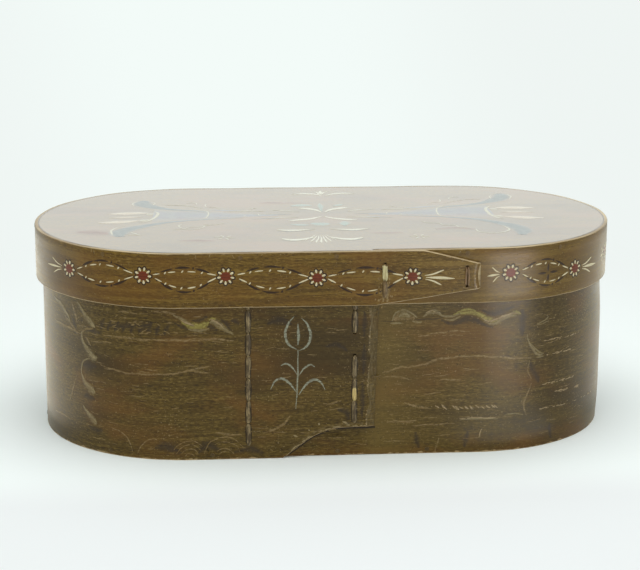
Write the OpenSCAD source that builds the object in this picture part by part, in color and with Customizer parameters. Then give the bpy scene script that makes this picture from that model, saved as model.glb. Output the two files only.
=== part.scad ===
// Oval bentwood box with a lift-off lid.
// Two bent bands, each lapped over itself at the front and laced with split root,
// close round a bottom board and a lid board that are held by wooden pegs.
// Millimetres. Origin at the middle of the base, +Z up, the laps face -Y.

/* [Body] */
// Length of the body band, before its lap adds half a wall at the left end
body_length = 486; // [430:1:560]
// Depth of the body band, before its lap adds a wall at the front
body_width = 246; // [210:1:280]
// Height of the body band, up to the rim that carries the lid
body_height = 170; // [140:1:220]
// Thickness of the body band
body_wall = 4; // [3:0.1:5.5]

/* [Lid] */
// Height of the lid band, from its lower edge to the top of the lid
lid_height = 46; // [40:1:60]
// Thickness of the lid band
lid_wall = 3.5; // [3:0.1:5]
// Gap between the lid band and the lacing that stands out of the body band
lid_slack = 0.6; // [0.4:0.1:2]

/* [Boards] */
// Thickness of the bottom board
bottom_thickness = 8; // [7:0.5:12]
// Thickness of the lid board
lid_board_thickness = 8; // [7:0.5:12]
// Gap between a board's edge and the band round it
board_fit = 0.2; // [0.1:0.05:0.4]

/* [Laps] */
// Gap between the two layers of a lap
lap_gap = 0.3; // [0.2:0.05:0.5]
// Thickness that is left at a thinned band end
end_tip = 1; // [0.6:0.1:1.4]
// Length over which a hidden or straight band end is thinned
end_bevel = 7; // [4:0.5:10]
// Distance of the body lap's inner end from the left bend
body_lap_inset = 25; // [15:1:40]
// Place of the body lap's outer end, from the middle to the right
body_lap_end = 37; // [30:1:50]
// Lean of the body lap's outer end, in degrees off upright
body_lap_lean = 1.6; // [0:0.1:2.5]
// Height of the cut below the body lap's outer end
lap_cut_height = 26; // [18:1:32]
// Place where the cut below the lap starts to fall, from the middle to the right
lap_cut_x = 10; // [0:1:12]
// Radius of the fall of that cut
lap_cut_radius = 56; // [45:1:65]

/* [Lid tongue] */
// Distance of the tongue's tip from the right bend
tongue_inset = 1; // [0.5:0.5:8]
// Length over which the upper edge falls to the tip
tongue_upper_length = 47; // [35:1:55]
// Length over which the lower edge rises to the tip
tongue_lower_length = 86; // [70:1:95]
// Fall of the upper edge
tongue_fall = 12; // [9:0.5:13]
// Rise of the lower edge
tongue_rise = 13; // [9:0.5:13]
// Depth of the hollow in the tip
tongue_hollow = 2.2; // [1.5:0.1:3]
// Length over which the tip is thinned
tongue_bevel = 3; // [2.6:0.1:5]

/* [Lacing] */
// Diameter of an awl hole
hole_d = 3.2; // [2.8:0.1:3.4]
// Gap round the root in its hole
root_fit = 0.15; // [0.1:0.05:0.25]
// Width of the split root
root_width = 3.6; // [3.4:0.1:4.2]
// Height of the root above the wood
root_rise = 1.5; // [1.2:0.1:1.7]
// Gap between two stitches that meet over a hole
stitch_gap = 0.8; // [0.4:0.1:1.2]
// Distance between the holes of a body seam
stitch_pitch = 19.5; // [16:0.5:24]
// Wood that is left between a body seam's last hole and an edge or board beside it
seam_margin = 3.5; // [3:0.5:5]
// Depth below the rim in which a body seam has no hole
seam_headroom = 12; // [8:1:16]
// Distance of the left body seam from the lap's inner end
left_seam_inset = 23; // [16:1:30]
// Distance of the right body seam from the lap's outer end
right_seam_inset = 21; // [16:1:26]
// Stitch of the right body seam that is worn away outside, where 0 is the lowest
worn_stitch = 3; // [0:1:5]
// Gap between the body lap's outer end and the lid's heel stitches
heel_seam_gap = 1; // [1:0.1:4]
// Wood that is left below the lid's heel seam
heel_seam_margin = 6.5; // [5:0.5:8]
// Distance of the lid's tip seam from the tip
tip_seam_inset = 11.5; // [9:0.5:14]
// Distance between the two holes of the tip seam
tip_seam_span = 15.5; // [10:0.5:16]

/* [Pegs] */
// Diameter of a wooden peg
peg_d = 3.6; // [3:0.1:4]
// Length of a peg, from the outer face to its point
peg_length = 24; // [16:1:30]
// Length of the point
peg_point = 5; // [3:0.5:7]
// Height of a peg's head above the band
peg_proud = 0.4; // [0.2:0.1:0.6]
// Gap round a peg in its hole
peg_fit = 0.05; // [0.03:0.01:0.1]
// Angle between the pegs of a bend
peg_angle = 58; // [45:1:62]
// Distance between the pegs of a long side
peg_spacing = 78; // [60:1:90]

/* [Hidden] */
$fn = 96;
// Small overlap that lets a cut run clear of a face
over = 1;

straight = (body_length - body_width) / 2;
body_r = body_width / 2;
// The lid follows the body's spiral, so it clears the lap at the front left as well
root_room = root_rise + lid_slack;
lid_clearance = root_room + max(0, body_wall - lid_wall);
lid_r = body_r + lid_clearance + lid_wall;
lid_top = body_height + lid_board_thickness;
lid_bottom = lid_top - lid_height;

// The cut below the body lap runs out at a slope of 3 in 4
slope_sin = 0.6;
slope_cos = 0.8;

body_lap_start = body_lap_inset - straight;
lid_lap_start = body_lap_end - end_bevel;
lid_lap_end = straight - tongue_inset;

left_seam_x = body_lap_start + left_seam_inset;
right_seam_x = body_lap_end - right_seam_inset;
heel_seam_x = body_lap_end + heel_seam_gap + root_width / 2;
tip_seam_x = lid_lap_end - tip_seam_inset;

// Heights of the holes of each seam
function holes_between(low, high) = [for (z = [low : stitch_pitch : high]) z];
seam_top = body_height - seam_headroom;
left_seam_holes = holes_between(bottom_thickness + seam_margin, seam_top);
right_seam_holes = holes_between(lap_cut_height + seam_margin, seam_top);
heel_seam_low = lid_bottom + heel_seam_margin;
heel_seam_high = body_height - seam_margin;
heel_seam_holes = [heel_seam_low, (heel_seam_low + heel_seam_high) / 2, heel_seam_high];
tip_low = lid_bottom + tongue_rise;
tip_high = lid_top - tongue_fall;
tip_middle = (tip_low + tip_high) / 2;
tip_seam_holes = [tip_middle - tip_seam_span / 2, tip_middle + tip_seam_span / 2];

// Outer face of the front layers: the inner layer, then the outer one over it
function inner_face(r) = -r;
function outer_face(r, wall) = -(r + lap_gap + wall);
// The left bend is wider than the right one by half of what the lap adds
function left_r(r, wall) = r + (lap_gap + wall) / 2;
function left_y(wall) = -(lap_gap + wall) / 2;

// Each peg is [x, y, direction of its head], on the outer face of its band
function bend_pegs(r, wall) = [for (a = [-peg_angle, 0, peg_angle]) each [
    [straight + r * cos(a), r * sin(a), a],
    [-straight - left_r(r, wall) * cos(a), left_y(wall) - left_r(r, wall) * sin(a), a + 180]
]];
function back_pegs(r) = [for (i = [-1, 0, 1]) [i * peg_spacing, r, 90]];
body_pegs = concat(bend_pegs(body_r, body_wall), back_pegs(body_r), [
    [body_lap_start - peg_d - seam_margin, outer_face(body_r, body_wall), -90],
    [lap_cut_x - peg_d * 2, inner_face(body_r), -90],
    [peg_spacing, inner_face(body_r), -90]
]);
lid_pegs_at = concat(bend_pegs(lid_r, lid_wall), back_pegs(lid_r), [
    [-peg_spacing, outer_face(lid_r, lid_wall), -90],
    [0, outer_face(lid_r, lid_wall), -90],
    [lid_lap_end - peg_d * 3, inner_face(lid_r), -90]
]);
body_peg_z = bottom_thickness / 2;
lid_peg_z = lid_top - lid_board_thickness / 2;

// A plan or elevation, cut to the stretch of x that is given
module stretch(from, to, reach) {
    intersection() {
        children();
        translate([from, -reach])
            square([to - from, 2 * reach]);
    }
}

// Plan of a band round the right bend, the back and the wider left bend
module bends(r, wall) {
    reach = 2 * r;
    stretch(straight, straight + reach, reach)
        translate([straight, 0])
            difference() {
                circle(r);
                circle(r - wall);
            }
    translate([-straight, r - wall])
        square([2 * straight, wall]);
    stretch(-straight - reach, -straight, reach)
        translate([-straight, left_y(wall)])
            difference() {
                circle(left_r(r, wall));
                circle(left_r(r, wall) - wall);
            }
}

// Plan of the layer that starts inside the lap, thinned on its inner face
module inner_layer(r, wall, start) {
    polygon([
        [straight, -r], [start, -r], [start, end_tip - r],
        [start + end_bevel, wall - r], [straight, wall - r]
    ]);
}

// Plan of the layer that ends outside the lap
module outer_layer(r, wall, end) {
    translate([-straight, outer_face(r, wall)])
        square([end + straight, wall]);
}

// Plan of the room inside a band, drawn in by the fit of a board
module band_room(r, wall, start, fit) {
    back_y = r - wall - fit;
    left_front_y = fit - r - lap_gap;
    right_front_y = fit + wall - r;
    step_x = start - fit;
    translate([straight, 0])
        circle(r - wall - fit);
    translate([-straight, left_y(wall)])
        circle(left_r(r, wall) - wall - fit);
    polygon([
        [-straight, back_y], [-straight, left_front_y], [step_x, left_front_y],
        [step_x, end_tip + fit - r], [start + end_bevel, right_front_y],
        [straight, right_front_y], [straight, back_y]
    ]);
}

// A cut through the outer layer of a lap, from an elevation that is drawn in x and z
module outer_layer_cut(r, wall) {
    translate([0, -(r + lap_gap / 2), 0])
        rotate([90, 0, 0])
            linear_extrude(lap_gap / 2 + wall + over)
                children();
}

// The cut that ends an outer layer and thins it on its outer face, leaning from its top
module outer_end_cut(r, wall, end, bevel, top, lean = 0) {
    face_y = outer_face(r, wall);
    tip_y = face_y + wall - end_tip;
    back_y = -(r + lap_gap / 2);
    run = bevel / (wall - end_tip);
    reach = top + 2 * over;
    translate([end, 0, top])
        rotate([0, lean, 0])
            translate([0, 0, -reach])
                linear_extrude(reach + 2 * over)
                    polygon([
                        [0, back_y], [0, tip_y], [-bevel - over * run, face_y - over],
                        [2 * bevel, face_y - over], [2 * bevel, back_y]
                    ]);
}

// Awl holes through both layers of a lap
module seam_holes(r, wall, x, heights) {
    for (z = heights)
        translate([x, wall + over - r, z])
            rotate([90, 0, 0])
                cylinder(h = 2 * wall + lap_gap + 2 * over, d = hole_d);
}

// A split root laced through a seam: legs in the holes, stitches along both faces
module lacing(r, wall, x, heights, worn = -1) {
    inside_y = wall - r;
    outside_y = outer_face(r, wall);
    sink = root_rise / 2;
    last = len(heights) - 1;
    for (z = heights)
        translate([x, inside_y + sink, z])
            rotate([90, 0, 0])
                cylinder(h = inside_y - outside_y + 2 * sink, d = hole_d - 2 * root_fit);
    for (i = [0 : last - 1]) {
        run = heights[i + 1] - heights[i] - stitch_gap;
        translate([x, inside_y, heights[i] + stitch_gap / 2])
            linear_extrude(run)
                root_section();
        if (i != worn)
            translate([x, outside_y, heights[i] + stitch_gap / 2])
                linear_extrude(run)
                    mirror([0, 1])
                        root_section();
    }
}

// Section of a split root, flat on the wood and round above it
module root_section() {
    round_r = (pow(root_width / 2, 2) + pow(root_rise, 2)) / (2 * root_rise);
    intersection() {
        translate([0, root_rise - round_r])
            circle(round_r);
        translate([-root_width, 0])
            square([2 * root_width, root_rise + over]);
    }
}

// Pegs driven in from outside, or with a gap the holes that take them
module pegs(places, z, gap = 0) {
    shank = peg_length - peg_point;
    tip_d = peg_d / 3;
    for (p = places)
        translate([p[0], p[1], z])
            rotate([0, 90, p[2]]) {
                translate([0, 0, -shank])
                    cylinder(h = shank + (gap > 0 ? over : peg_proud), d = peg_d + 2 * gap);
                translate([0, 0, -peg_length - gap])
                    cylinder(h = peg_point + gap, d1 = tip_d, d2 = peg_d + 2 * gap);
            }
}

// Elevation of the corner that is cut away below the body lap's outer end
module lap_cut() {
    fall_x = lap_cut_x - lap_cut_radius * slope_sin;
    fall_z = lap_cut_height - lap_cut_radius * (1 - slope_cos);
    foot_x = fall_x - (fall_z + over) * slope_cos / slope_sin;
    translate([lap_cut_x, -over])
        square([body_lap_end + end_bevel - lap_cut_x, lap_cut_height + over]);
    intersection() {
        translate([lap_cut_x, lap_cut_height - lap_cut_radius])
            circle(lap_cut_radius, $fn = 180);
        translate([fall_x, -over])
            square([lap_cut_x - fall_x, lap_cut_height + over]);
    }
    polygon([[fall_x, -over], [fall_x, fall_z], [foot_x, -over]]);
}

// Elevation of what is cut away round the lid's tongue
module tongue_cut() {
    past = lid_lap_end + 2 * over;
    upper_slope = tongue_fall / tongue_upper_length;
    lower_slope = tongue_rise / tongue_lower_length;
    half_tip = (tip_high - tip_low) / 2;
    hollow_r = (pow(half_tip, 2) + pow(tongue_hollow, 2)) / (2 * tongue_hollow);
    polygon([
        [lid_lap_end - tongue_upper_length - over, lid_top + over * upper_slope],
        [past, tip_high - 2 * over * upper_slope], [past, lid_top + over],
        [lid_lap_end - tongue_upper_length - over, lid_top + over]
    ]);
    polygon([
        [lid_lap_end - tongue_lower_length - over, lid_bottom - over * lower_slope],
        [past, tip_low + 2 * over * lower_slope], [past, lid_bottom - over],
        [lid_lap_end - tongue_lower_length - over, lid_bottom - over]
    ]);
    translate([lid_lap_end - tongue_hollow + hollow_r, tip_middle])
        circle(hollow_r);
}

module body_band() {
    color("#56462b")
        difference() {
            union() {
                linear_extrude(body_height) {
                    bends(body_r, body_wall);
                    inner_layer(body_r, body_wall, body_lap_start);
                }
                difference() {
                    linear_extrude(body_height)
                        outer_layer(body_r, body_wall, body_lap_end + over);
                    outer_end_cut(body_r, body_wall, body_lap_end, end_bevel, body_height, body_lap_lean);
                    outer_layer_cut(body_r, body_wall)
                        lap_cut();
                }
            }
            seam_holes(body_r, body_wall, left_seam_x, left_seam_holes);
            seam_holes(body_r, body_wall, right_seam_x, right_seam_holes);
            pegs(body_pegs, body_peg_z, peg_fit);
        }
}

module bottom_board() {
    color("#b08d5f")
        difference() {
            linear_extrude(bottom_thickness)
                band_room(body_r, body_wall, body_lap_start, board_fit);
            pegs(body_pegs, body_peg_z, peg_fit);
        }
}

module bottom_pegs() {
    color("#6b5738")
        pegs(body_pegs, body_peg_z);
}

module body_left_lacing() {
    color("#7d6a48")
        lacing(body_r, body_wall, left_seam_x, left_seam_holes);
}

module body_right_lacing() {
    color("#85704b")
        lacing(body_r, body_wall, right_seam_x, right_seam_holes, worn_stitch);
}

module lid_band() {
    color("#6b5330")
        difference() {
            union() {
                translate([0, 0, lid_bottom])
                    linear_extrude(lid_height) {
                        bends(lid_r, lid_wall);
                        inner_layer(lid_r, lid_wall, lid_lap_start);
                    }
                difference() {
                    translate([0, 0, lid_bottom])
                        linear_extrude(lid_height)
                            outer_layer(lid_r, lid_wall, lid_lap_end + over);
                    outer_end_cut(lid_r, lid_wall, lid_lap_end, tongue_bevel, lid_top);
                    outer_layer_cut(lid_r, lid_wall)
                        tongue_cut();
                }
            }
            seam_holes(lid_r, lid_wall, heel_seam_x, heel_seam_holes);
            seam_holes(lid_r, lid_wall, tip_seam_x, tip_seam_holes);
            pegs(lid_pegs_at, lid_peg_z, peg_fit);
        }
}

module lid_board() {
    color("#6f5634")
        difference() {
            translate([0, 0, body_height])
                linear_extrude(lid_board_thickness)
                    band_room(lid_r, lid_wall, lid_lap_start, board_fit);
            pegs(lid_pegs_at, lid_peg_z, peg_fit);
        }
}

module lid_pegs() {
    color("#6b5738")
        pegs(lid_pegs_at, lid_peg_z);
}

module lid_heel_lacing() {
    color("#a8976a")
        lacing(lid_r, lid_wall, heel_seam_x, heel_seam_holes);
}

module lid_tip_lacing() {
    color("#85704b")
        lacing(lid_r, lid_wall, tip_seam_x, tip_seam_holes);
}

body_band();
bottom_board();
bottom_pegs();
body_left_lacing();
body_right_lacing();
lid_band();
lid_board();
lid_pegs();
lid_heel_lacing();
lid_tip_lacing();
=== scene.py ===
# %% [markdown]
# # Dressing an oval bentwood box
# The box is two strips of thin wood, steamed, bent into an oval and laced shut with split root.
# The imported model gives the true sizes. This lesson dresses it: hand-cut strips, old paint,
# brushed ornament, root stitches and bare wood inside.
# All shapes below are worked out in millimetres and put into the meshes in metres.

# %% Load the frame
import math
from types import SimpleNamespace

import bpy
import numpy as np
from mathutils import Matrix, Vector


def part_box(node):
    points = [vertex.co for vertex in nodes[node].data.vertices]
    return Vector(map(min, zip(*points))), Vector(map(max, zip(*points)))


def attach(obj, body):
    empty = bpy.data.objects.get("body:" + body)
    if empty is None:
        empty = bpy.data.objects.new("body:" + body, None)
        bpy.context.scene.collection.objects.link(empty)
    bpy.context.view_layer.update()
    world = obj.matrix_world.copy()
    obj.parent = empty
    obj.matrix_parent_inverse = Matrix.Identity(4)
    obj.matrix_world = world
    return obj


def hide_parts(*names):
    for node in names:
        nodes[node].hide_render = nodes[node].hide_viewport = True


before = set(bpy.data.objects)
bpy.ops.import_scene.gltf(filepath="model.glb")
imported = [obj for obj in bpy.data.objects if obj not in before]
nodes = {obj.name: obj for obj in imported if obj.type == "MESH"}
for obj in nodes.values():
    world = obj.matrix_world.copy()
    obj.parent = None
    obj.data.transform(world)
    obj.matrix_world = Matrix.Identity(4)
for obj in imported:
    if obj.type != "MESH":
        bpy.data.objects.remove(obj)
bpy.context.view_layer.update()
MM = 0.001
print("nodes:", ", ".join(sorted(nodes)))

# %% [markdown]
# ## Camera
# The view is a long lens from the front, a little left of the middle and above the lid.
# Its numbers come from fitting the oval rims. Only the focal length is given in pixels, of a
# frame 640 pixels wide, so it is turned into a lens by the sensor's width.

# %% Camera
FRAME_WIDTH_PX = 640
FOCAL_PX = 1960
SENSOR_MM = 36
CAMERA_BACK, CAMERA_SIDE, CAMERA_UP = 1.679, -0.003, 0.547
CAMERA_PITCH, CAMERA_YAW, CAMERA_ROLL = (math.radians(a) for a in (14.40, 4.46, 0.21))

camera = bpy.data.objects.new("photo_camera", bpy.data.cameras.new("photo_camera"))
bpy.context.collection.objects.link(camera)
camera.data.sensor_width = SENSOR_MM
camera.data.lens = FOCAL_PX / FRAME_WIDTH_PX * SENSOR_MM
camera.matrix_world = (
    Matrix.Rotation(-CAMERA_YAW, 4, "Z")
    @ Matrix.Translation((CAMERA_SIDE, -CAMERA_BACK, CAMERA_UP))
    @ Matrix.Rotation(math.pi / 2 - CAMERA_PITCH, 4, "X")
    @ Matrix.Rotation(CAMERA_ROLL, 4, "Z")
)
bpy.context.scene.camera = camera
print(f"lens {camera.data.lens:.1f} mm")

# %% [markdown]
# ## A hand for wiring shader nodes
# Node trees are long to write out. In this small helper a node's output is a value that adds,
# multiplies and remaps like a number, and inputs are fed by their names, so that each finish
# below reads as a recipe.

# %% Node values
class Value:
    """One output of a node, which adds, multiplies and remaps like a number."""

    def __init__(self, graph, socket):
        self.graph = graph
        self.socket = socket

    def __add__(self, other):
        return self.graph.math("ADD", self, other)

    def __sub__(self, other):
        return self.graph.math("SUBTRACT", self, other)

    def __rsub__(self, other):
        return self.graph.math("SUBTRACT", other, self)

    def __mul__(self, other):
        return self.graph.math("MULTIPLY", self, other)

    def __abs__(self):
        return self.graph.math("ABSOLUTE", self)

    def remap(self, low, high, to_low=0.0, to_high=1.0):
        """Goes from one value to another between low and high, with level ends."""
        ease = {"interpolation_type": "SMOOTHSTEP"}
        return self.graph.add("MapRange", 0, ease, (self, low, high, to_low, to_high))


print("values can be added, multiplied and remapped")


# %% Node graph
class Graph:
    """Adds nodes to one tree and feeds their inputs with numbers, colours or values."""

    def __init__(self, tree):
        self.tree = tree

    def feed(self, socket, value):
        if isinstance(value, Value):
            self.tree.links.new(value.socket, socket)
        else:
            socket.default_value = value

    def feed_all(self, sockets, named):
        for name, value in named.items():
            self.feed(sockets[name.replace("_", " ")], value)

    def add(self, kind, output=0, settings=None, values=(), **named):
        """One output of a new node, whose inputs are fed in their order or by name."""
        node = self.tree.nodes.new("ShaderNode" + kind)
        for name, value in (settings or {}).items():
            setattr(node, name, value)
        for socket, value in zip(node.inputs, values):
            self.feed(socket, value)
        self.feed_all(node.inputs, named)
        return Value(self, node.outputs[output])

    def math(self, operation, *values):
        return self.add("Math", 0, {"operation": operation}, values)

    def mix(self, share, first, second):
        mixed = self.add("Mix", 2, {"data_type": "RGBA"}, (share,))
        for index, colour in ((6, first), (7, second)):
            self.feed(mixed.socket.node.inputs[index], colour)
        return mixed

    def layers(self, colour, *coats):
        """A colour with others laid over it one after the other, each by its share."""
        for share, coat in coats:
            colour = self.mix(share, colour, coat)
        return colour

    def axis(self, vector, name):
        return self.add("SeparateXYZ", name, Vector=vector)

    def uv(self, name):
        return self.add("UVMap", 0, {"uv_map": name})

    def stretch(self, vector, scales, at=(0, 0, 0)):
        return self.add("Mapping", Vector=vector, Scale=scales, Location=at)

    def noise(self, vector, scale, detail=4, roughness=0.55, distortion=0.0):
        return self.add("TexNoise", Vector=vector, Scale=scale, Detail=detail, Roughness=roughness,
                        Distortion=distortion)

    def grain(self, vector, scales, detail=4, roughness=0.55, distortion=0.0, at=(0, 0, 0)):
        """Noise drawn out along the axes that have the smaller scales."""
        return self.noise(self.stretch(vector, scales, at), 1.0, detail, roughness, distortion)

    def bump(self, height, strength, distance):
        return self.add("Bump", Strength=strength, Distance=distance, Height=height)

    def group(self, tree, **inputs):
        """The outputs of a shader group, by their names."""
        node = self.add("Group", 0, {"node_tree": tree}, **inputs).socket.node
        return SimpleNamespace(**{made.name: Value(self, made) for made in node.outputs})

    def close(self, **outputs):
        """Feeds the outputs of a shader group and hands over the group."""
        self.feed_all(self.ends, outputs)
        return self.tree

    def surface(self, **inputs):
        """Feeds a material's Principled shader."""
        self.feed_all(self.shader, inputs)


print("graph ready")

# %% Groups, colours and materials
VECTOR, COLOUR = "Vector", "Color"


def shader_group(name, outputs, **inputs):
    """An empty node group and its inputs. Outputs has their kinds; a number is an input's own value."""
    tree = bpy.data.node_groups.new(name, "ShaderNodeTree")
    for label, value in inputs.items():
        kind = value if value in (VECTOR, COLOUR) else "Float"
        socket = tree.interface.new_socket(label.replace("_", " "), in_out="INPUT",
                                           socket_type="NodeSocket" + kind)
        if kind == "Float":
            socket.default_value = value
    for label, kind in outputs.items():
        tree.interface.new_socket(label, in_out="OUTPUT", socket_type="NodeSocket" + kind)
    graph = Graph(tree)
    graph.ends = tree.nodes.new("NodeGroupOutput").inputs
    starts = tree.nodes.new("NodeGroupInput").outputs
    return graph, SimpleNamespace(**{label: Value(graph, made) for label, made in zip(inputs, starts)})


def paint(red, green, blue):
    """A paint colour, mixed by eye on a 0 to 255 scale, as the linear colour that shaders use."""
    share = np.array([red, green, blue]) / 255
    linear = np.where(share <= 0.04045, share / 12.92, ((share + 0.055) / 1.055) ** 2.4)
    return (*linear.tolist(), 1.0)


def new_material(name):
    """A material and the graph of its nodes, with its Principled shader at hand."""
    material = bpy.data.materials.new(name)
    material.use_nodes = True
    graph = Graph(material.node_tree)
    graph.shader = material.node_tree.nodes["Principled BSDF"].inputs
    return material, graph


print("groups, colours and materials ready")

# %% [markdown]
# ## Studio
# The photograph has a white room: a pale floor, soft light from all round and no horizon.
# The floor is a real surface, so that it takes the shadow. Away from the box it turns to
# an even white for the camera alone. The world does the same, and gloss sees it white too. That
# white is a little greyer in front and towards the sides, and the lit floor is greyer in front of the
# box: both are painted shade.

# %% Floor
FLOOR_HALF = 9.0
FLOOR_COLOUR = paint(247, 252, 251)
BACKDROP_COLOUR = paint(243, 251, 248)
# The greyer front colours are painted shade.
FRONT_COLOUR = paint(236, 241, 239)
FRONT_FLOOR = paint(238, 240, 241)
corners = np.array([[-1, -1, 0], [1, -1, 0], [1, 1, 0], [-1, 1, 0]]) * FLOOR_HALF
floor_mesh = bpy.data.meshes.new("floor")
floor_mesh.from_pydata(corners.tolist(), [], [(0, 1, 2, 3)])
floor = bpy.data.objects.new("floor", floor_mesh)
bpy.context.collection.objects.link(floor)

floor_material, g = new_material("studio_floor")
position = g.add("TexCoord", "Object")
depth = g.axis(position, "Y")
reach = g.add("VectorMath", "Value", {"operation": "LENGTH"}, (g.stretch(position, (0.95, 0.85, 1.0)),))
away = reach.remap(0.26, 0.62) * g.add("LightPath", "Is Camera Ray")
# The camera's white is greyer in front and towards the sides: painted shade.
bearing = abs(g.math("DIVIDE", g.axis(position, "X"), depth + CAMERA_BACK))
centre = depth.remap(-0.7, 0.2) * bearing.remap(0.04, 0.16, 1.0, 0.4)
centre = g.math("MAXIMUM", centre, reach.remap(3.0, 8.0))
# The lit floor is greyer in front of the box: painted shade.
g.surface(Base_Color=g.mix(depth.remap(-0.24, -0.15), FRONT_FLOOR, FLOOR_COLOUR),
          Roughness=0.85, Specular_IOR_Level=0.1)
glow = g.add("Emission", Color=g.mix(centre, FRONT_COLOUR, BACKDROP_COLOUR), Strength=1.0)
lit = Value(g, g.tree.nodes["Principled BSDF"].outputs[0])
both = g.add("MixShader", 0, None, (away, lit, glow))
g.feed(g.tree.nodes["Material Output"].inputs[0], both)
floor_mesh.materials.append(floor_material)
print("floor", 2 * FLOOR_HALF, "m wide")

# %% World and lamps
WORLD_FILL = 0.55
CARD_HEIGHT = 0.002
WHITE, CREAM, COOL = (1.0, 1.0, 1.0), (1.0, 0.93, 0.76), (0.84, 0.95, 1.0)
world = bpy.data.worlds.new("white_room")
bpy.context.scene.world = world
world.use_nodes = True
g = Graph(world.node_tree)
direct = g.add("LightPath", "Is Camera Ray")
for ray in ("Is Glossy Ray", "Is Transmission Ray"):
    direct = g.math("MAXIMUM", direct, g.add("LightPath", ray))
g.feed_all(world.node_tree.nodes["Background"].inputs,
           {"Color": BACKDROP_COLOUR, "Strength": direct.remap(0.0, 1.0, WORLD_FILL, 1.0)})
bpy.context.scene.view_settings.view_transform = "Standard"


def soft_lamp(name, power, width, height, place, target):
    """An area lamp of a width and height at a place, turned to a target, in metres."""
    lamp = bpy.data.objects.new(name, bpy.data.lights.new(name, "AREA"))
    lamp.data.energy = power
    lamp.data.shape = "RECTANGLE"
    lamp.data.size = width
    lamp.data.size_y = height
    bpy.context.collection.objects.link(lamp)
    aim = Vector(place) - Vector(target)
    lamp.matrix_world = Matrix.Translation(place) @ aim.to_track_quat("Z", "Y").to_matrix().to_4x4()
    lamp.visible_camera = False
    return lamp


def floor_card(name, power, length, width, x, y, turn, tint):
    """A card of light that lies on the floor facing up, its length turned by degrees.
    The walls only mirror it: it gives gloss and no other light."""
    card = soft_lamp(name, power, length, width, (x, y, CARD_HEIGHT), (x, y, 1.0))
    flat = Matrix.Rotation(math.radians(turn), 4, "Z") @ Matrix.Rotation(math.pi, 4, "X")
    card.matrix_world = Matrix.Translation((x, y, CARD_HEIGHT)) @ flat
    card.visible_diffuse = False
    card.data.color = tint


soft_lamp("overhead_lamp", 47, 2.6, 2.6, (0.05, -0.4, 2.6), (0, 0, 0.1))
soft_lamp("front_window", 5.4, 2.6, 1.2, (0.1, -2.3, 0.8), (0.0, -0.13, 0.1))
soft_lamp("back_window", 3, 2.6, 1.2, (0.2, 3.0, 1.0), (0, 0, 0.18))
floor_card("left_card", 1.8, 0.86, 0.5, -0.69, 0.15, 0, CREAM)
floor_card("left_edge_card", 0.7, 0.46, 0.2, -0.58, 0.48, 35, CREAM)
floor_card("right_card", 0.85, 0.86, 0.5, 0.71, 0.18, 0, CREAM)
floor_card("right_edge_card", 0.5, 0.44, 0.2, 0.69, 0.37, -40, CREAM)
floor_card("near_card", 0.52, 0.45, 0.13, 0.242, -0.343, -70, COOL)
floor_card("far_card", 9.0, 0.34, 0.36, 0.47, -0.64, -58, WHITE)
print("lamps:", len(bpy.data.lights))

# %% [markdown]
# ## The plan of a bent strip
# Each band is one strip that laps over its own start at the front. Walking along it, the
# strip runs right along the front, round the right bend, along the back, round the left bend
# and over its start again. The left bend is wider by half of what the lap adds.
# So one distance along the strip, with a height, names every point of it. The bands, the
# stitches and all brushed ornament use that same walk, and so they lie on each other exactly.

# %% Strip
LAP_GAP = 0.3
END_TIP = 1.0
WAVE = 0.22


def band_sizes(node, **facts):
    """A band's sizes in millimetres, from its CAD node's box, with the facts of its lap."""
    low, high = (np.array(c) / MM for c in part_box(node))
    radius = high[1]
    straight = high[0] - radius
    step = -low[1] - radius
    band = SimpleNamespace(radius=radius, straight=straight, step=step, low=low[2], high=high[2], **facts)
    band.wall = step - LAP_GAP
    band.left_radius = radius + step / 2
    runs = (straight - band.start, math.pi * radius, 2 * straight, math.pi * band.left_radius,
            straight + band.end)
    band.marks = np.concatenate([[0.0], np.cumsum(runs)])
    band.length = band.marks[-1]
    return band


def smooth(value, low, high):
    """Rises from 0 to 1 between low and high, with level ends."""
    share = np.clip((value - low) / (high - low), 0, 1)
    return share * share * (3 - 2 * share)


def strip_sway(band, along, up):
    """How far the bent wood stands off its ideal line: slow waves, none at the lap or the board,
    and a belly at the right end that is widest below the middle."""
    free = smooth(along, band.marks[1] - 10, band.marks[1] + 50)
    free = free * smooth(band.marks[4] + 10 - along, 0, 50)
    held = smooth(np.abs(up - band.board_height), 10, 34)
    wave = np.sin(along / 31 + band.phase) + 0.7 * np.sin(along / 57 + up / 38 + 2 * band.phase)
    round_right = np.clip((along - band.marks[1]) / (band.marks[2] - band.marks[1]), 0, 1)
    belly = np.sin(math.pi * round_right) ** 2 * smooth(up, -40, 30) * (1 - 0.6 * smooth(up, 90, 136))
    return WAVE * free * held * wave + band.flare * belly


def strip_point(band, along, up, lift):
    """The point at a distance along the strip, a height and a lift off its outer face.
    The direction turns by the angle walked round the bends; the middle of the turn slides along x."""
    m = band.marks
    turned = np.clip((along - m[1]) / band.radius, 0, math.pi)
    turned = turned + np.clip((along - m[3]) / band.left_radius, 0, math.pi)
    second_half = along > m[3]
    reach = np.where(second_half, band.left_radius, band.radius)
    middle_x = np.select(
        [along < m[1], along < m[2], along < m[3], along < m[4]],
        [band.start + along, band.straight, band.straight - (along - m[2]), -band.straight],
        along - m[4] - band.straight,
    )
    middle_x = middle_x - band.trim(middle_x, up) * (along > m[4])
    middle_y = np.where(second_half, -band.step / 2, 0.0)
    out = reach + lift + strip_sway(band, along, up)
    return np.stack([middle_x + out * np.sin(turned), middle_y - out * np.cos(turned), up + 0 * out], -1)


def front_along(band, across):
    """Distance along the strip of the layer that shows at a place on the front, right of the middle."""
    return np.where(across <= band.end, band.length - band.end + across, across - band.start)


print("strip ready")

# %% [markdown]
# ## Hand-cut outlines
# The body's lap has a leaning end with its lower corner cut away in a falling curve. The lid's
# lap ends in a tapered tongue with a hollowed tip. Both are heights of the lower and upper edge
# as functions of the place along the front. The knife's waver is added when the mesh is made.

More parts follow.
